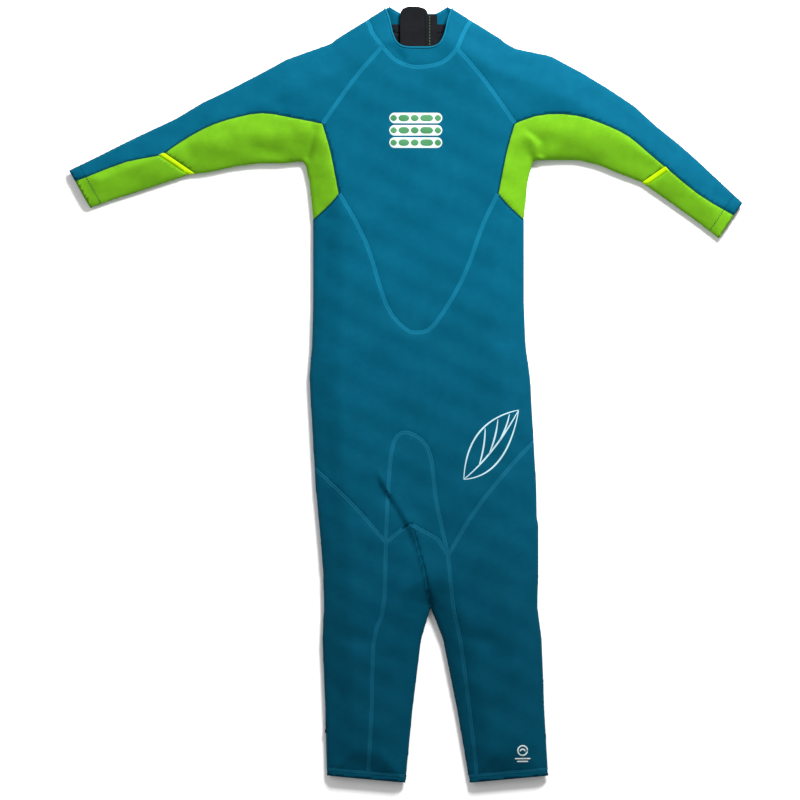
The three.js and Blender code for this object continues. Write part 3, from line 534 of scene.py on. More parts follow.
# Each soft wrinkle's line, depth and width: first from the knee's middle, then from the zip.
KNEE_CREASES = [([(-0.05, 0.004), (0.01, -0.003)], 0.0012, 0.011),
                ([(-0.01, -0.030), (0.045, -0.022)], 0.0009, 0.010)]
SLEEVE_CREASES = [([(-0.1675, 0.352), (-0.1875, 0.392), (-0.1955, 0.420)], 0.0011, 0.010),
                  ([(-0.1615, 0.318), (-0.1995, 0.338), (-0.2455, 0.352)], 0.0009, 0.010),
                  ([(0.1805, 0.345), (0.1965, 0.372), (0.2045, 0.398)], 0.0012, 0.010),
                  ([(0.1825, 0.330), (0.2185, 0.324), (0.2525, 0.312)], 0.0010, 0.011),
                  ([(-0.3145, 0.322), (-0.3275, 0.356)], 0.0009, 0.008),
                  ([(0.3125, 0.296), (0.3345, 0.330)], 0.0009, 0.008)]
# Height, length, heading and phase of each soft wave.
WAVES = [(0.0007, 0.115, 0.4, 0.3), (0.0006, 0.083, 1.9, 1.7), (0.0005, 0.057, 2.8, 4.1),
         (0.0004, 0.039, 1.1, 2.2)]


def crease_lines():
    """The wrinkles across the sleeves and legs, each as a line, its depth and its width."""
    lines = [([(knee.x + x, knee.y + y) for x, y in line], depth, width)
             for knee in (KNEE_LEFT, KNEE_RIGHT) for line, depth, width in KNEE_CREASES]
    return lines + [(from_zip(line), depth, width) for line, depth, width in SLEEVE_CREASES]


WAVES_FADE = 0.02          # the waves die away over this width at the outline
TOP_LOW, TOP_BAND = 0.008, 0.010          # where the front's waves and folds begin, going up
BACK_BAND = 0.006          # the height over which the back leaves the floor


def lie(points):
    """Where a point of the flat suit comes to lie."""
    points = np.asarray(points, float).copy()
    edge = np.array([OUTLINE_TREE.find((p[0], p[1], 0))[2] for p in points])
    share = FOLD_SHARE + (1 - FOLD_SHARE) * smoothstep(edge / FOLD_WIDTH)
    top = smoothstep((points[:, 2] - TOP_LOW) / TOP_BAND)
    lift = np.zeros(len(points))
    for height, length, turn, start in WAVES:
        along = points[:, 0] * math.cos(turn) + points[:, 1] * math.sin(turn)
        lift += height * np.sin(2 * math.pi * along / length + start)
    lift *= smoothstep(edge / WAVES_FADE)
    for shape, line, height, width in FOLDS:
        lift += shape(points, line, height, width)
    for line, depth, width in crease_lines():
        lift += groove(points, line, depth, width)
    back = 1 - smoothstep(points[:, 2] / BACK_BAND)
    share = 1 + (share - 1) * smoothstep((points[:, 2] - BACK_BAND) / BACK_BAND)
    points[:, 2] = points[:, 2] * share + lift * top + BACK_LIFT * back
    return points


# ---- Pieces made from rows of points -------------------------------------------------

def piece_from(name, points, faces, uv=None):
    """A smooth mesh piece, with an UV map given point by point where a pattern follows it."""
    mesh = bpy.data.meshes.new(name)
    mesh.from_pydata([tuple(p) for p in points], [], [tuple(int(i) for i in f) for f in faces])
    mesh.update()
    mesh.shade_smooth()
    if uv is not None:
        layer = mesh.uv_layers.new(name="along")
        corners = np.empty(len(mesh.loops), int)
        mesh.loops.foreach_get("vertex_index", corners)
        layer.data.foreach_set("uv", np.asarray(uv, np.float32)[corners].ravel())
    return linked(name, mesh)


ROOM_ROUNDS = 3            # how often the thickness is evened out, and then halved where too thick


def thicknesses(points, normals, faces, labels):
    """How thick the neoprene may be at each point: less where the suit lies folded on itself."""
    tree = tree_of(points, faces[labels != OPENING])
    room = np.full(len(points), NEOPRENE)
    for i, (p, n) in enumerate(zip(points, normals)):
        through = tree.ray_cast(p - n * 1e-4, -n)[3]
        if through is not None:
            room[i] = min(NEOPRENE, HALF_ROOM * through)
    ends = side_ends(faces)
    valence = np.bincount(ends.ravel(), minlength=len(points))
    for _ in range(ROOM_ROUNDS):
        around = sum_around(room, ends) / np.maximum(valence, 1)
        room = np.minimum(room, (room + around) / 2)
    for _ in range(ROOM_ROUNDS):
        for i, spot in enumerate(points - normals * room[:, None]):
            near, facing, _, _ = tree.find_nearest(spot)
            if (Vector(spot) - near).dot(facing) > -LEAST_WALL:
                room[i] /= 2
    return room


def walled(outer, inner, faces):
    """Both sides of a panel and the wall round its cut edges, and which faces are inside."""
    sides = side_ends(faces)
    _, index, counts = np.unique(
        np.sort(sides, axis=1), axis=0, return_index=True, return_counts=True)
    rims = sides[index[counts == 1]]
    first = len(outer)
    walls = np.column_stack([rims[:, 1], rims[:, 0], rims[:, 0] + first, rims[:, 1] + first])
    points = np.concatenate([outer, inner])
    everything = np.concatenate([faces, walls, faces[:, ::-1] + first])
    return points, everything, np.arange(len(everything)) >= len(faces) + len(walls)


NORMAL_ROUNDS = 4          # how often the directions across the skin are evened out


class Skin:
    """The draped outside of the whole suit, to lay seams, stitches and prints on."""

    def __init__(self, points, faces):
        self.tree = tree_of(points, faces)
        self.normals = point_normals(points, faces, NORMAL_ROUNDS)
        self.faces = faces
        self.points = points

    def at(self, place):
        """The nearest place on the skin and the smooth normal there."""
        spot, _, index, _ = self.tree.find_nearest(place)
        corners = self.faces[index]
        weight = 1 / (np.linalg.norm(self.points[corners] - np.array(spot), axis=1) + 1e-5)
        return np.array(spot), unit((self.normals[corners] * weight[:, None]).sum(0))

    def under(self, x, y):
        """The skin's highest point at a place in plan, and its normal."""
        spot = self.tree.ray_cast((x, y, 0.1), (0, 0, -1))[0]
        return self.at(spot)


LOOP_PITCH = 0.0026        # from one loop of thread to the next along a seam


def seam_profile(across, along):
    """Height of a flat-locked seam: a low band, two ridges of needle thread, and loops between."""
    edge = np.clip(1 - np.abs(across) ** 6, 0, 1)
    ridges = sum(np.exp(-((across - place) / 0.16) ** 2) for place in (-0.72, 0.72))
    loops = 0.5 + 0.5 * np.cos(2 * math.pi * (along / LOOP_PITCH + 0.25 * across))
    return edge * (0.55 + 0.2 * loops) + 0.28 * ridges


def band_rows(skin, line, half, rise, profile, columns=9, step=0.0009, rounds=4):
    """A band along a line of the draped skin. Its half width may be a function."""
    even, closed, ways = line_with_ways(line, step, rounds)
    across = np.linspace(-1, 1, columns)
    along = np.arange(len(even)) * step
    widths = half(along, along[-1]) if callable(half) else np.full(len(even), half)
    points, uv = [], []
    for centre, run, u, width in zip(even, ways, along, widths):
        spot, normal = skin.at(centre)
        sideways = unit(np.cross(normal, run))
        heights = rise * profile(across, u)
        for v, height in zip(across, heights):
            place, up = skin.at(spot + sideways * v * width)
            points.append(place + up * height)
            uv.append((u, v))
    rows = len(even)
    faces = []
    for i in range(rows if closed else rows - 1):
        for k in range(columns - 1):
            a, b = i * columns + k, (i + 1) % rows * columns + k
            faces.append((a, b, b + 1, a + 1))
    return np.array(points), faces, np.array(uv)


def joined(parts):
    """Several sets of rows as one."""
    points, faces, uv, first = [], [], [], 0
    for p, f, t in parts:
        points.append(p)
        faces += [tuple(i + first for i in face) for face in f]
        uv.append(t)
        first += len(p)
    return np.concatenate(points), faces, np.concatenate(uv)


def tube_rows(line, radius, sides=8, step=0.002):
    """A round roll of cloth along a line."""
    even, closed, ways = line_with_ways(line, step, 4)
    points, faces, uv = [], [], []
    for i, (centre, run) in enumerate(zip(even, ways)):
        sideways = unit(np.cross(run, (0, 0, 1)))
        upward = np.cross(sideways, run)
        for k in range(sides):
            turn = 2 * math.pi * k / sides
            around = math.cos(turn) * sideways + math.sin(turn) * upward
            points.append(centre + radius * around)
            uv.append((i * step, k / sides))
    rows = len(even)
    for i in range(rows if closed else rows - 1):
        for k in range(sides):
            here, onward, after = i * sides, (i + 1) % rows * sides, (k + 1) % sides
            faces.append((here + k, here + after, onward + after, onward + k))
    if not closed:
        faces.append(tuple(range(sides))[::-1])
        faces.append(tuple(range((rows - 1) * sides, rows * sides)))
    return np.array(points), faces, np.array(uv)


STITCH_ROUND = 6
STITCH_SHAPE = [(-1.0, 0.3), (-0.7, 1.0), (0.7, 1.0), (1.0, 0.3)]     # place along it, thickness


def stitch_rows(line, pitch, length, radius, lay):
    """Short stitches along a line: lay gives a place's spot on the cloth and the way up there."""
    even, _, ways = line_with_ways(line, pitch)
    points, faces, uv = [], [], []
    for centre, run in zip(even, ways):
        spot, up = lay(centre)
        sideways = unit(np.cross(up, run))
        first = len(points)
        for place, thickness in STITCH_SHAPE:
            for k in range(STITCH_ROUND):
                turn = 2 * math.pi * k / STITCH_ROUND
                around = math.cos(turn) * sideways + math.sin(turn) * up
                points.append(spot + run * place * length / 2 + radius * thickness * around)
                uv.append((place, k / STITCH_ROUND))
        for ring in range(len(STITCH_SHAPE) - 1):
            for k in range(STITCH_ROUND):
                a = first + ring * STITCH_ROUND
                b = a + (k + 1) % STITCH_ROUND
                faces.append((a + k, b, b + STITCH_ROUND, a + k + STITCH_ROUND))
        faces.append(tuple(range(first + STITCH_ROUND - 1, first - 1, -1)))
        last = first + (len(STITCH_SHAPE) - 1) * STITCH_ROUND
        faces.append(tuple(range(last, last + STITCH_ROUND)))
    return np.array(points), faces, np.array(uv)


def finished(obj, material, where):
    """Gives a piece its finish and places it as hold does for its place."""
    obj.data.materials.append(material)
    hold(obj, where)
    return obj


def soft_copy(name, node, material, round_off, where="torso"):
    """Cloth in the shape of its node, with rounded edges, standing in for it."""
    bm = merged_mesh(node)
    bmesh.ops.dissolve_limit(bm, angle_limit=0.02, verts=bm.verts, edges=bm.edges)
    mesh = bpy.data.meshes.new(name)
    bm.to_mesh(mesh)
    bm.free()
    obj = linked(name, mesh)
    apply_modifier(obj, "BEVEL", width=round_off, segments=3, limit_method="ANGLE")
    bpy.ops.object.shade_smooth_by_angle(angle=math.radians(40))
    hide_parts(node)
    return finished(obj, material, where)


# ---- Where the cloth bends when the suit is folded -----------------------------------

SLEEVE_FROM = 0.006        # a seam belongs to the sleeve from this far inside the armhole's fold
ARMS_ABOVE = 0.15          # the sleeves' seams lie more than this above the waist
TORSO_ABOVE = 0.12         # and the torso's own more than this
THIGHS_ABOVE = 0.16        # the waist's part reaches down to this far above the knees
CROTCH_X = (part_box("gusset_front")[0].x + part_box("gusset_front")[1].x) / 2
SIDE_OUT = {"left": -1, "right": 1}


def sleeve_fold(side):
    """Where the armhole folds, and the level direction from there out along the sleeve."""
    place, axis = joint(f"shoulder_fold_{side}")
    outward = Vector((axis.y, -axis.x, 0)).normalized()
    return place, outward if outward.x * SIDE_OUT[side] > 0 else -outward


def hold(obj, where):
    """Lets a piece ride on the body that its place names; at the waist, a shoulder or a knee its
    placement is only baked into its points.
    """
    if where == "waist":
        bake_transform(obj)
    elif where.startswith("shoulder_"):
        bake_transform(obj)
    elif where.startswith("knee_"):
        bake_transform(obj)
    else:
        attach(obj, where)


def place_of(point):
    """Which of those places a point of a seam belongs to."""
    x, y = point[0], point[1]
    if y > WAIST.y + ARMS_ABOVE:
        for side in ("left", "right"):
            place, outward = sleeve_fold(side)
            if (Vector((x, y, place.z)) - place).dot(outward) > -SLEEVE_FROM:
                return f"shoulder_{side}"
    if y > WAIST.y + TORSO_ABOVE:
        return "torso"
    if y > KNEE_LEFT.y + THIGHS_ABOVE:
        return "waist"
    return "knee_left" if x < CROTCH_X else "knee_right"


# ---- Finishes ------------------------------------------------------------------------

def new_material(name):
    material = bpy.data.materials.new(name)
    material.use_nodes = True
    nodes, links = material.node_tree.nodes, material.node_tree.links
    return material, nodes, links, nodes["Principled BSDF"]


def put(nodes, kind, values=None, **settings):
    """A new shader node with its settings and the values of its own sockets."""
    node = nodes.new("ShaderNode" + kind)
    for key, value in settings.items():
        setattr(node, key, value)
    for socket, value in (values or {}).items():
        node.inputs[socket].default_value = value
    return node


def put_wave(nodes, direction, scale):
    """Rows of loops of knitting, not quite straight."""
    return put(nodes, "TexWave", {"Scale": scale, "Distortion": 1.2, "Detail": 1.0,
                                  "Detail Scale": 1.5},
               wave_type="BANDS", bands_direction=direction)


def knit_group():
    """The nylon jersey on the neoprene: fine rows of knitted loops, mottled by the foam."""
    group = bpy.data.node_groups.new("jersey_knit", "ShaderNodeTree")
    for label, kind, value in (("Shade", "Color", (0, 0.1, 0.2, 1)),
                               ("Light Shade", "Color", (0, 0.2, 0.3, 1)),
                               ("Loops Per Metre", "Float", 700.0)):
        socket = group.interface.new_socket(label, in_out="INPUT", socket_type=f"NodeSocket{kind}")
        socket.default_value = value
    for label, kind in (("Colour", "Color"), ("Roughness", "Float"), ("Height", "Float")):
        group.interface.new_socket(label, in_out="OUTPUT", socket_type=f"NodeSocket{kind}")
    nodes, links = group.nodes, group.links
    start, end = nodes.new("NodeGroupInput"), nodes.new("NodeGroupOutput")
    place = put(nodes, "TexCoord")
    scale = put(nodes, "VectorMath", operation="SCALE")
    links.new(place.outputs["Object"], scale.inputs[0])
    links.new(start.outputs["Loops Per Metre"], scale.inputs["Scale"])
    rows, courses = put_wave(nodes, "X", 0.5), put_wave(nodes, "Y", 0.6)
    loops = put(nodes, "Math", operation="MULTIPLY")
    for number, wave in enumerate((rows, courses)):
        links.new(scale.outputs[0], wave.inputs["Vector"])
        links.new(wave.outputs["Fac"], loops.inputs[number])
    mottle = put(nodes, "TexNoise", {"Scale": 55.0, "Detail": 5.0, "Roughness": 0.65})
    links.new(place.outputs["Object"], mottle.inputs["Vector"])
    cloud = put(nodes, "MapRange",
                {"From Min": 0.35, "From Max": 0.65, "To Min": 0.18, "To Max": 0.52})
    links.new(mottle.outputs["Fac"], cloud.inputs["Value"])
    share = put(nodes, "Math", {1: 0.30}, operation="MULTIPLY_ADD")
    links.new(loops.outputs[0], share.inputs[0])
    links.new(cloud.outputs["Result"], share.inputs[2])
    mix = put(nodes, "Mix", data_type="RGBA")
    links.new(share.outputs[0], mix.inputs["Factor"])
    links.new(start.outputs["Shade"], mix.inputs["A"])
    links.new(start.outputs["Light Shade"], mix.inputs["B"])
    links.new(mix.outputs["Result"], end.inputs["Colour"])
    rough = put(nodes, "MapRange", {"To Min": 0.78, "To Max": 0.62})
    links.new(share.outputs[0], rough.inputs["Value"])
    links.new(rough.outputs["Result"], end.inputs["Roughness"])
    height = put(nodes, "Math", {1: 0.5}, operation="MULTIPLY_ADD")
    links.new(mottle.outputs["Fac"], height.inputs[0])
    links.new(loops.outputs[0], height.inputs[2])
    links.new(height.outputs[0], end.inputs["Height"])
    return group


KNIT = knit_group()
LEG_PAINTED_SHADE = 0.62           # how bright the colour stays at the knees, against the chest: painted shade for the light falling off towards the legs
PAINTED_SHADE_STOPS_ABOVE = 0.10           # the painted shade stops this far above the waist


def put_place(nodes, links):
    """The point's own place, told apart into X, Y and Z."""
    apart = put(nodes, "SeparateXYZ")
    links.new(put(nodes, "TexCoord").outputs["Object"], apart.inputs[0])
    return apart


def put_bump(nodes, links, height, surface, strength, distance):
    bump = put(nodes, "Bump", {"Strength": strength, "Distance": distance})
    links.new(height, bump.inputs["Height"])
    links.new(bump.outputs["Normal"], surface.inputs["Normal"])


def neoprene_finish(name, shade, light, loops=700.0, gloss=0.03, bump_height=0.0004):
    """Jersey-faced neoprene: a matt knit with little gloss, with painted shade that darkens it
    towards the legs.
    """
    material, nodes, links, surface = new_material(name)
    knit = nodes.new("ShaderNodeGroup")
    knit.node_tree = KNIT
    knit.inputs["Light Shade"].default_value = (*light, 1)
    knit.inputs["Shade"].default_value = (*shade, 1)
    knit.inputs["Loops Per Metre"].default_value = loops
    # Painted shade: the colour is scaled darker from above the waist down to the knees, where less
    # light falls on the suit.
    depth = put(nodes, "MapRange", {"From Min": KNEE_LEFT.y, "From Max": WAIST.y + PAINTED_SHADE_STOPS_ABOVE,
                                    "To Min": LEG_PAINTED_SHADE, "To Max": 1.0})
    links.new(put_place(nodes, links).outputs["Y"], depth.inputs["Value"])
    painted_leg_shade = put(nodes, "VectorMath", operation="SCALE")
    links.new(knit.outputs["Colour"], painted_leg_shade.inputs[0])
    links.new(depth.outputs["Result"], painted_leg_shade.inputs["Scale"])
    links.new(painted_leg_shade.outputs[0], surface.inputs["Base Color"])
    links.new(knit.outputs["Roughness"], surface.inputs["Roughness"])
    put_bump(nodes, links, knit.outputs["Height"], surface, 0.35, bump_height)
    surface.inputs["Specular IOR Level"].default_value = gloss
    return material


def two_part_finish(material, other_shade, edge, width):
    """Past an edge across the suit the material turns into another shade."""
    nodes, links = material.node_tree.nodes, material.node_tree.links
    surface = nodes["Principled BSDF"]
    own = surface.inputs["Base Color"].links[0].from_socket
    past = put(nodes, "MapRange", {"From Min": edge - width / 2, "From Max": edge + width / 2})
    links.new(put_place(nodes, links).outputs["Y"], past.inputs["Value"])
    tint = put(nodes, "Mix", {"B": (*other_shade, 1)}, data_type="RGBA")
    links.new(past.outputs["Result"], tint.inputs["Factor"])
    links.new(own, tint.inputs["A"])
    links.new(tint.outputs["Result"], surface.inputs["Base Color"])


def moulded_finish(name, shade, light, grain, rough, metallic=0.0, scratch=0.0):
    """Moulded plastic, printed ink or cast metal: a fine grain, and wear in its gloss."""
    material, nodes, links, surface = new_material(name)
    place = put(nodes, "TexCoord")
    fine = put(nodes, "TexNoise", {"Scale": grain, "Detail": 6.0})
    wear = put(nodes, "TexNoise", {"Scale": grain / 6, "Distortion": scratch})
    for noise in (fine, wear):
        links.new(place.outputs["Object"], noise.inputs["Vector"])
    mix = put(nodes, "Mix", data_type="RGBA")
    mix.inputs["A"].default_value = (*shade, 1)
    mix.inputs["B"].default_value = (*light, 1)
    links.new(fine.outputs["Fac"], mix.inputs["Factor"])
    links.new(mix.outputs["Result"], surface.inputs["Base Color"])
    gloss = put(nodes, "MapRange", {"To Min": rough - 0.12, "To Max": rough + 0.12})
    links.new(wear.outputs["Fac"], gloss.inputs["Value"])
    links.new(gloss.outputs["Result"], surface.inputs["Roughness"])
    put_bump(nodes, links, fine.outputs["Fac"], surface, 0.25, 0.0002)
    surface.inputs["Metallic"].default_value = metallic
    return material


DARK_PAIR = (0.004, 0.005, 0.007), (0.014, 0.016, 0.020)
TEAL = neoprene_finish(
    "teal_neoprene_jersey", (0.000, 0.060, 0.107), (0.0003, 0.084, 0.146))
GREEN = neoprene_finish(
    "green_neoprene_jersey", (0.092, 0.255, 0.007), (0.142, 0.375, 0.011))
NEON = neoprene_finish(
    "neon_strip_tape", (0.34, 0.60, 0.001), (0.42, 0.72, 0.004), loops=1100.0)
LINING = neoprene_finish("dark_lining_jersey", *DARK_PAIR)
FACED_LINING = neoprene_finish("collar_lining_jersey", *DARK_PAIR)
two_part_finish(FACED_LINING, (0.000, 0.066, 0.118), ZIP_TOP + 0.017, 0.001)
THREAD = neoprene_finish(
    "teal_seam_thread", (0.002, 0.086, 0.148), (0.006, 0.118, 0.198), loops=1400.0)
two_part_finish(THREAD, (0.003, 0.108, 0.184), WAIST.y + 0.02, 0.12)
DARK_THREAD = neoprene_finish(
    "dark_seam_thread", (0.000, 0.028, 0.040), (0.001, 0.042, 0.058), loops=1400.0)
BLACK = neoprene_finish("black_neoprene_smooth", (0.0045, 0.005, 0.006), (0.011, 0.012, 0.014))
GREY_THREAD = neoprene_finish(
    "grey_green_stitch_thread", (0.05, 0.085, 0.045), (0.10, 0.15, 0.08), loops=1600.0)
WOVEN = neoprene_finish(
    "woven_zip_tape", (0.006, 0.007, 0.009), (0.022, 0.024, 0.028), loops=2100.0,
    bump_height=0.0006)
PILE = neoprene_finish(
    "loop_pile_fabric", (0.008, 0.009, 0.011), (0.035, 0.037, 0.042), loops=1250.0,
    bump_height=0.0012)
TEETH = moulded_finish(
    "moulded_zip_teeth", (0.010, 0.011, 0.013), (0.030, 0.032, 0.036), 900.0, 0.42)
METAL = moulded_finish(
    "plated_slider_metal", (0.42, 0.43, 0.45), (0.62, 0.63, 0.65), 700.0, 0.36,
    metallic=1.0, scratch=2.0)
PLASTIC = moulded_finish(
    "black_pull_plastic", (0.012, 0.013, 0.015), (0.034, 0.036, 0.040), 1100.0, 0.48)
WHITE_INK = moulded_finish(
    "white_print_ink", (0.40, 0.48, 0.47), (0.52, 0.57, 0.56), 1800.0, 0.6)
CYAN_INK = moulded_finish(
    "pale_cyan_print_ink", (0.30, 0.46, 0.52), (0.42, 0.55, 0.58), 1800.0, 0.6)
GREEN_INK = moulded_finish(
    "green_print_ink", (0.012, 0.105, 0.045), (0.03, 0.20, 0.05), 1800.0, 0.6)

# ---- The panels ----------------------------------------------------------------------

SHORTEST_SEAM = 0.02
UPRIGHT = 0.35             # at the outline the skin's normals rise less than this
PANEL_FINISH = {"underarm": GREEN, "forearm": GREEN, "elbow": NEON}


def seam_kind(a, b):
    """How the seam between two panels is made, by their numbers."""
    names = {PANEL_NAMES[a].split("_")[0], PANEL_NAMES[b].split("_")[0]}
    if "elbow" in names:
        return "strip"
    if "ankle" in names:
        return "hem"
    return "green" if names & {"underarm", "forearm"} else "plain"


def length_of(line):
    return np.linalg.norm(np.diff(line, axis=0), axis=1).sum()


corners, owners, rims = outer_faces()
starts, ends, panel, partner = cut_lines(rims)
open_starts, open_ends = starts[partner == OPENING], ends[partner == OPENING]
groups = openings_of(open_starts, open_ends)
opening_points = np.concatenate([rows[g] for rows in (open_starts, open_ends) for g in groups])
sewn = (partner != OPENING) & (panel < partner)
kinds = np.array([seam_kind(a, b) for a, b in zip(panel, partner)])
seams = {}
for kind in ("plain", "green", "strip", "hem"):
    own = sewn & (kinds == kind)
    lines = chains(starts[own], ends[own])
    seams[kind] = [line for line in lines if length_of(line) > SHORTEST_SEAM]
fans = lids(open_starts, open_ends, groups)
corners = np.concatenate([corners, fans])
owners = np.concatenate([owners, np.full(len(fans), OPENING)])
skin_object = closed_skin(corners)
points, faces = rows_of(skin_object.data)
bpy.data.objects.remove(skin_object)
labels = label_faces(points, faces, corners, owners)
seam_points = np.concatenate(
    [even_line(line, 0.0005, 6)[0] for lines in seams.values() for line in lines])
points = smoothed(points, faces, np.zeros(len(points), bool), 10)
points, fixed = fit_to_edges(points, faces, labels, seam_points, opening_points)
points = smoothed(points, faces, fixed, 6)
normals = point_normals(points, faces)
outline = points[np.abs(normals[:, 2]) < UPRIGHT]
OUTLINE_TREE = kd_tree(np.column_stack([outline[:, :2], np.zeros(len(outline))]))
points = lie(points)
seam_tree = kd_tree(lie(seam_points))
to_seam = np.array([seam_tree.find(p)[2] for p in points])
pinch = SEAM_PINCH * smoothstep(1 - to_seam / PINCH_REACH)
points -= point_normals(points, faces) * pinch[:, None]
skin = Skin(points, faces)
room = thicknesses(points, skin.normals, faces, labels)
inner = points - skin.normals * room[:, None]


for number, name in enumerate(PANEL_NAMES):
    own = faces[labels == number]
    used = np.unique(own)
    renumber = np.full(len(points), -1)
    renumber[used] = np.arange(len(used))
    shell, shell_faces, inside = walled(points[used], inner[used], renumber[own])
    panel_piece = piece_from(name, shell, shell_faces)
    kind = name.split("_")[0]
    panel_piece.data.materials.append(PANEL_FINISH.get(kind, TEAL))
    panel_piece.data.materials.append(FACED_LINING if kind == "collar" else LINING)
    panel_piece.data.polygons.foreach_set("material_index", inside.astype(np.int32))
    nodes, where = PANELS[name]
    hold(panel_piece, where)
    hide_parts(*nodes)

# ---- The seams -----------------------------------------------------------------------

# Half the width of each kind of seam, and how far it stands out.
SEAM_MAKES = {"plain": (SEAM_HALF, SEAM_RISE), "green": (0.0012, 0.00035), "hem": (0.0022, 0.0006)}
FOLD_HIDES = 0.0065        # a seam this near to the crotch's fold is hidden
FOLD_HIDES_FROM = 0.42     # past this share of the fold's length


def hidden_in_fold(lain):
    """Whether each point of a seam lies hidden in the fold at the crotch."""
    distance, _, share = line_distance(lain, CROTCH_FOLD)
    return (distance < FOLD_HIDES) & (lain[:, 2] > MID_HEIGHT) & (share > FOLD_HIDES_FROM)


def lay_seams(name, kind, finish):
    """Flat-locked bands along lines of the suit, one piece for each place that their points belong
    to.
    """
    parts = {}
    for line in seams[kind]:
        lain = lie(line)
        places = ["hidden" if gone else place_of(p) for p, gone in zip(lain, hidden_in_fold(lain))]
        count = len(places)
        cut = [0] + [i for i in range(1, count) if places[i] != places[i - 1]] + [count]
        for first, last in zip(cut[:-1], cut[1:]):
            stretch = lain[first:last + 1]
            if len(stretch) > 3 and places[first] != "hidden":
                band = band_rows(skin, stretch, *SEAM_MAKES[kind], seam_profile)
                parts.setdefault(places[first], []).append(band)
    for where, rows in parts.items():
        finished(piece_from(f"{name}_{where}", *joined(rows)), finish, where)


lay_seams("flatlock_seams", "plain", THREAD)
lay_seams("sleeve_seams", "green", DARK_THREAD)
lay_seams("hem_seams", "hem", THREAD)

# ---- Cuffs, neck edge and the stitching beside the zip -------------------------------

CUFF_IN = 0.0165           # the cuff's stitches lie this far inside its end
CUFF_OUT = 0.3             # an opening further than this from the zip's line is a cuff
NECK_ROLL = 0.0013
STITCH = (0.0034, 0.0024, 0.00048)        # pitch, length and half thickness


def ring_round(centre, outward, count=160):
    """The line where a level plane across a sleeve meets its outside."""
    outward = Vector(outward).normalized()
    sideways = outward.cross(Vector((0, 0, 1))).normalized()
    upward = sideways.cross(outward)
    ring = []
    for k in range(count + 1):
        turn = 2 * math.pi * k / count
        way = sideways * math.cos(turn) + upward * math.sin(turn)
        ring.append(tuple(skin.tree.ray_cast(centre, way)[0]))
    return np.array(ring)


for group in groups:
    edge = lie(open_starts[group])
    centre = edge.mean(0)
    if abs(centre[0] - ZIP_X) > CUFF_OUT:
        side = "left" if centre[0] < ZIP_X else "right"
        corner_a = edge[edge[:, 1].argmax()]
        corner_b = edge[edge[:, 1].argmin()]
        across = corner_a - corner_b
        outward = np.array((across[1], -across[0], 0)) / np.linalg.norm(across[:2])
        if outward[0] * SIDE_OUT[side] < 0:
            outward = -outward
        ring = ring_round(centre - outward * CUFF_IN, outward)
        cuff = piece_from(f"cuff_stitches_{side}", *stitch_rows(ring, *STITCH, skin.at))
        finished(cuff, DARK_THREAD, f"sleeve_{side}")
    elif centre[1] > ZIP_TOP - 0.02:
        loops = chains(open_starts[group], open_ends[group])
        rolls = [tube_rows(lie(loop), NECK_ROLL) for loop in loops if len(loop) > 20]
        binding = piece_from("neck_edge_binding", *joined(rolls))
        finished(binding, THREAD, "torso")

ZIP_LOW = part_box("zip_tape_left")[0].y
STITCH_LINES = (-0.0105, -0.0135, 0.0105, 0.0135)         # across from the zip's own line
edge_stitches = []
for across in STITCH_LINES:
    down = np.linspace(ZIP_LOW + 0.004, ZIP_TOP - 0.002, 60)
    line = np.array([(ZIP_X + across, y, 0.004) for y in down])
    edge_stitches.append(stitch_rows(line, *STITCH, skin.at))
stitches = piece_from("zip_edge_stitches", *joined(edge_stitches))
finished(stitches, THREAD, "torso")

# ---- The zip, its guard flap and the neck closure ------------------------------------

soft_copy("woven_tape_left", "zip_tape_left", WOVEN, 0.0003)
soft_copy("woven_tape_right", "zip_tape_right", WOVEN, 0.0003)
soft_copy("flap_edge_tape", "flap_binding", WOVEN, 0.0005)
soft_copy("closure_tab", "neck_tab", BLACK, 0.0007, "neck_tab")
soft_copy("closure_tab_end", "neck_tab_base", BLACK, 0.0005)
soft_copy("loop_pile_patch", "neck_loop_patch", PILE, 0.0002)

# The hard pieces of the zip are shown as they are.
NODE_FINISH = {"zip_teeth_left": TEETH, "zip_teeth_right": TEETH, "zip_top_stop_left": TEETH,
               "zip_top_stop_right": TEETH, "zip_bottom_stop": TEETH, "zip_slider": METAL,
               "zip_pull": PLASTIC}
for node, finish in NODE_FINISH.items():
    for slot in frame["nodes"][node].material_slots:
        slot.material = finish

FLAP_LOW, FLAP_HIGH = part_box("zip_flap")
FLAP_THICK = 0.0018
FLAP_TIP = 0.013           # the flap's tongue is rounded over this length
FLAP_TIP_IN = 0.011        # and draws in by this much
MARGIN_WIDTH = 0.017
MARGIN_THICK = 0.0016
MARGIN_LAP = 0.004         # the flap runs this far in under its margin
MARGIN_TIP_IN = 0.014
MARGIN_TOP = FLAP_HIGH.y - 0.011
MARGIN_LIFT = 0.0007       # the margin lies this far above the flap
MARGIN_STITCH = (0.0042, 0.0030, 0.0006)          # pitch, length and half thickness
CLOTH_WAVE = 0.0004


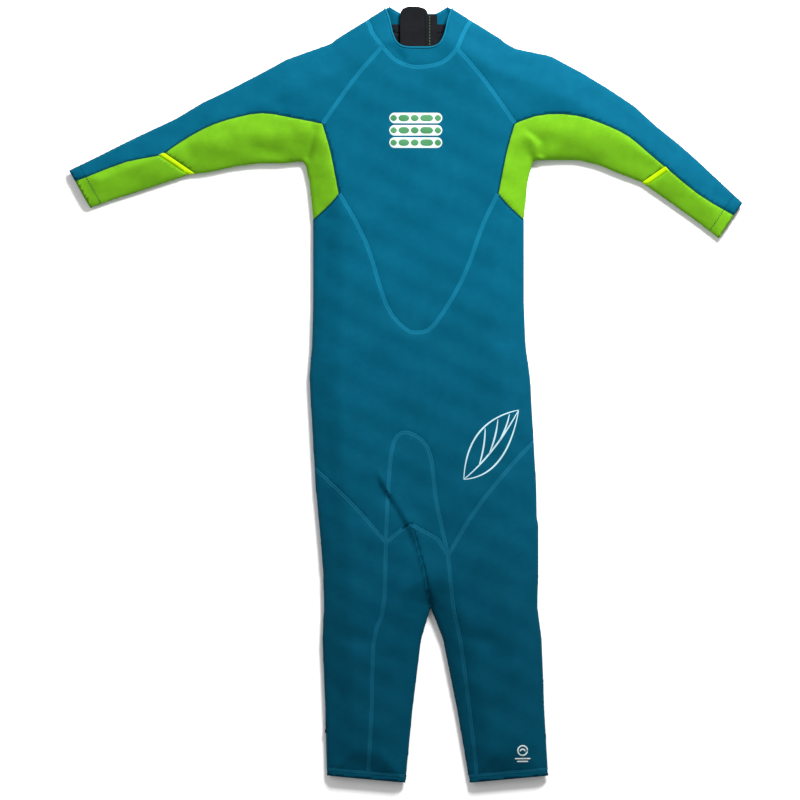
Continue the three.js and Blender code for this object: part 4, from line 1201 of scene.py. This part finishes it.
def cloth_strip(name, left_of, right_of, high_y, top_z, thickness, columns=16, rows=150):
    """A flat strip from the flap's foot up, between two edges given by Y, with a slight wave."""
    low_y = FLAP_LOW.y
    bpy.ops.object.select_all(action="DESELECT")
    bpy.ops.mesh.primitive_grid_add(x_subdivisions=columns, y_subdivisions=rows, size=1)
    strip = bpy.context.object
    strip.name = strip.data.name = name
    for vert in strip.data.vertices:
        y = low_y + (vert.co.y + 0.5) * (high_y - low_y)
        left, right = left_of(y), right_of(y)
        x = left + (vert.co.x + 0.5) * (right - left)
        vert.co = (x, y, top_z + CLOTH_WAVE * math.sin(y * 70 + x * 90) - CLOTH_WAVE)
    apply_modifier(strip, "SOLIDIFY", thickness=thickness, offset=-1)
    apply_modifier(strip, "BEVEL", width=thickness * 0.3, segments=2, limit_method="ANGLE")
    bpy.ops.object.shade_smooth_by_angle(angle=math.radians(50))
    return strip


def drawn_in(y, low, high):
    """How far a round tongue has drawn in at a height, as a share."""
    rounding = max(0.0, (y - low) / (high - low))
    return 1 - math.sqrt(max(0.0, 1 - rounding ** 2))


def flap_left(y):
    return FLAP_LOW.x + FLAP_TIP_IN * drawn_in(y, FLAP_HIGH.y - FLAP_TIP, FLAP_HIGH.y)


def flap_right(y):
    side = FLAP_HIGH.x - MARGIN_WIDTH + MARGIN_LAP
    return side - MARGIN_TIP_IN * drawn_in(y, MARGIN_TOP, FLAP_HIGH.y)


flap = cloth_strip("guard_flap", flap_left, flap_right, FLAP_HIGH.y, FLAP_HIGH.z, FLAP_THICK)
margin = cloth_strip(
    "guard_flap_margin", lambda y: FLAP_HIGH.x - MARGIN_WIDTH, lambda y: FLAP_HIGH.x,
    MARGIN_TOP, FLAP_HIGH.z + MARGIN_LIFT, MARGIN_THICK, columns=8)
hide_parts("zip_flap")
flap_length, flap_width = FLAP_HIGH.y - FLAP_LOW.y, FLAP_HIGH.x - FLAP_LOW.x
for piece, width in ((flap, flap_width - MARGIN_WIDTH + MARGIN_LAP), (margin, MARGIN_WIDTH)):
    finished(piece, BLACK, "torso")
margin_line = np.array([(FLAP_HIGH.x - 0.0105, y, FLAP_HIGH.z + 0.0004)
                        for y in np.linspace(FLAP_LOW.y + 0.004, MARGIN_TOP, 80)])
sewing = stitch_rows(margin_line, *MARGIN_STITCH, lambda p: (p, np.array((0, 0, 1.0))))
margin_stitches = piece_from("flap_margin_stitches", *sewing)
finished(margin_stitches, GREY_THREAD, "torso")

# ---- Printed marks -------------------------------------------------------------------

PRINT_RISE = 0.00028
SECOND_RISE = 0.00046      # ink printed over the ground of the chest's mark


def print_profile(across, along):
    return np.clip(1.6 * (1 - np.abs(across) ** 8), 0, 1)


def on_skin(line):
    return np.array([skin.under(x, y)[0] for x, y in line])


def curve_through(a, pull, b, count=24):
    """A curve from a to b, drawn towards pull."""
    a, pull, b = (np.array(p, float) for p in (a, pull, b))
    return [(1 - t) ** 2 * a + 2 * t * (1 - t) * pull + t * t * b
            for t in np.linspace(0, 1, count)]


def round_ends(half):
    """Half the width along a stroke with round ends."""
    def width(along, length):
        inward = np.minimum(along, length - along) / half
        return half * np.sqrt(np.clip(1 - (1 - np.minimum(inward, 1)) ** 2, 0.02, 1))
    return width


def pointed_ends(half):
    """Half the width along a stroke that thins towards both ends."""
    def width(along, length):
        return half * (0.3 + 0.7 * np.sin(math.pi * np.clip(along / length, 0, 1)) ** 0.6)
    return width


def strokes(lines, width, rise=PRINT_RISE):
    """Lines of ink on the skin, as one set of rows."""
    bands = [band_rows(skin, on_skin(line), width, rise, print_profile, columns=7, rounds=1)
             for line in lines]
    return joined(bands)


def middle_of(node):
    low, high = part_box(node)
    return (low.x + high.x) / 2, (low.y + high.y) / 2


def bar(x, y, length):
    return [(x + length * t, y) for t in np.linspace(0, 1, 12)]


# The chest's mark: three rows of rounded blocks on a light ground.
BAR_LENGTHS = (0.009, 0.015, 0.011, 0.018, 0.009)
BAR_GAP = 0.0022
BAR_HALF = 0.0058
BAR_EDGE = 0.0016
BAR_PITCH = 0.0172
print_x, print_y = middle_of("chest_print")
row_length = sum(BAR_LENGTHS) + BAR_GAP * (len(BAR_LENGTHS) - 1)
outlines, fills = [], []
for row in (-1, 0, 1):
    y = print_y + row * BAR_PITCH
    outlines.append(bar(print_x - row_length / 2 - BAR_EDGE, y, row_length + 2 * BAR_EDGE))
    x = print_x - row_length / 2
    for length in BAR_LENGTHS:
        fills.append(bar(x, y, length))
        x += length + BAR_GAP
ground_rows = strokes(outlines, round_ends(BAR_HALF + BAR_EDGE))
chest_mark = piece_from("chest_mark_ground", *ground_rows)
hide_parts("chest_print")
finished(chest_mark, WHITE_INK, "torso")
chest_blocks = piece_from("chest_mark_blocks", *strokes(fills, round_ends(BAR_HALF), SECOND_RISE))
finished(chest_blocks, GREEN_INK, "torso")

# The thigh's mark: the outline and veins of a leaf.
LEAF_FOOT, LEAF_TIP = (-0.038, -0.048), (0.039, 0.049)
LEAF_COUNT = 24
leaf_x, leaf_y = middle_of("hip_print")


def leaf(x, y):
    return (leaf_x + x, leaf_y + y)


lower, upper, rib = (curve_through(leaf(*LEAF_FOOT), leaf(*pull), leaf(*LEAF_TIP), LEAF_COUNT)
                     for pull in ((0.022, -0.044), (-0.034, 0.034), (0.004, -0.014)))
leaf_lines = [lower, upper, rib]
for share, reach in ((0.28, 0.62), (0.46, 0.80), (0.64, 0.92)):
    foot, tip = rib[int(share * (LEAF_COUNT - 1))], upper[int(reach * (LEAF_COUNT - 1))]
    pull = (foot + tip) / 2 + np.array((0.004, -0.001))
    leaf_lines.append(curve_through(foot, pull, tip * 0.94 + foot * 0.06, 12))
leaf_mark = piece_from("leaf_mark", *strokes(leaf_lines, pointed_ends(0.0012)))
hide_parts("hip_print")
finished(leaf_mark, CYAN_INK, "hips")

# The ankle's mark: a ring with an arch in it, over two bars.
RING = 0.0068
ankle_x, ankle_y = middle_of("ankle_print")
ring = [(ankle_x + RING * math.cos(t), ankle_y + 0.005 + RING * math.sin(t))
        for t in np.linspace(0, 2 * math.pi, 40)]
arch = curve_through((ankle_x - 0.004, ankle_y + 0.004), (ankle_x, ankle_y + 0.010),
                     (ankle_x + 0.004, ankle_y + 0.004), 10)
ankle_lines = [ring, arch, bar(ankle_x - 0.011, ankle_y - 0.0065, 0.022),
               bar(ankle_x - 0.008, ankle_y - 0.0105, 0.016)]
ankle_mark = piece_from("ankle_mark", *strokes(ankle_lines, round_ends(0.0010)))
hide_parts("ankle_print")
finished(ankle_mark, WHITE_INK, "shin_right")

# ---- Floor, light and camera ---------------------------------------------------------

CAMERA_PLACE = Vector((ZIP_X - 0.02605, -0.0074, 8.0))
VIEW_WIDTH = 1.12          # how much is in view from side to side
VIEW_HEIGHT = 0.014        # at this height above the floor
ROOM_LIGHT = 0.42

bpy.ops.object.select_all(action="DESELECT")
bpy.ops.mesh.primitive_plane_add(size=12, location=(0, 0, 0))
floor = bpy.context.object
floor.name = "floor"
floor_finish, _, _, surface = new_material("white_paper")
surface.inputs["Base Color"].default_value = (0.93, 0.93, 0.93, 1)
surface.inputs["Roughness"].default_value = 0.9
floor.data.materials.append(floor_finish)

camera_data = bpy.data.cameras.new("camera")
camera = linked("camera", camera_data)
camera.location = CAMERA_PLACE
camera_data.lens = camera_data.sensor_width * (CAMERA_PLACE.z - VIEW_HEIGHT) / VIEW_WIDTH
camera_data.clip_end = 100
bpy.context.scene.camera = camera

world = bpy.data.worlds.new("studio")
bpy.context.scene.world = world
world.use_nodes = True
background = world.node_tree.nodes["Background"]
background.inputs["Color"].default_value = (1, 1, 1, 1)
background.inputs["Strength"].default_value = ROOM_LIGHT
bpy.context.scene.view_settings.view_transform = "Standard"


def soft_light(name, place, target, size, power):
    data = bpy.data.lights.new(name, "AREA")
    data.shape, data.size, data.energy = "SQUARE", size, power
    light = linked(name, data)
    light.location = place
    light.rotation_euler = (Vector(target) - Vector(place)).to_track_quat("-Z", "Y").to_euler()


# Each light's place, target, size in metres and power in watts.
soft_light("key_light", (0.8, 1.9, 1.5), (0.1, 0.1, 0.0), 0.7, 138)
soft_light("fill_light", (-1.4, 0.9, 2.2), (0.0, 0.0, 0.0), 1.6, 12)
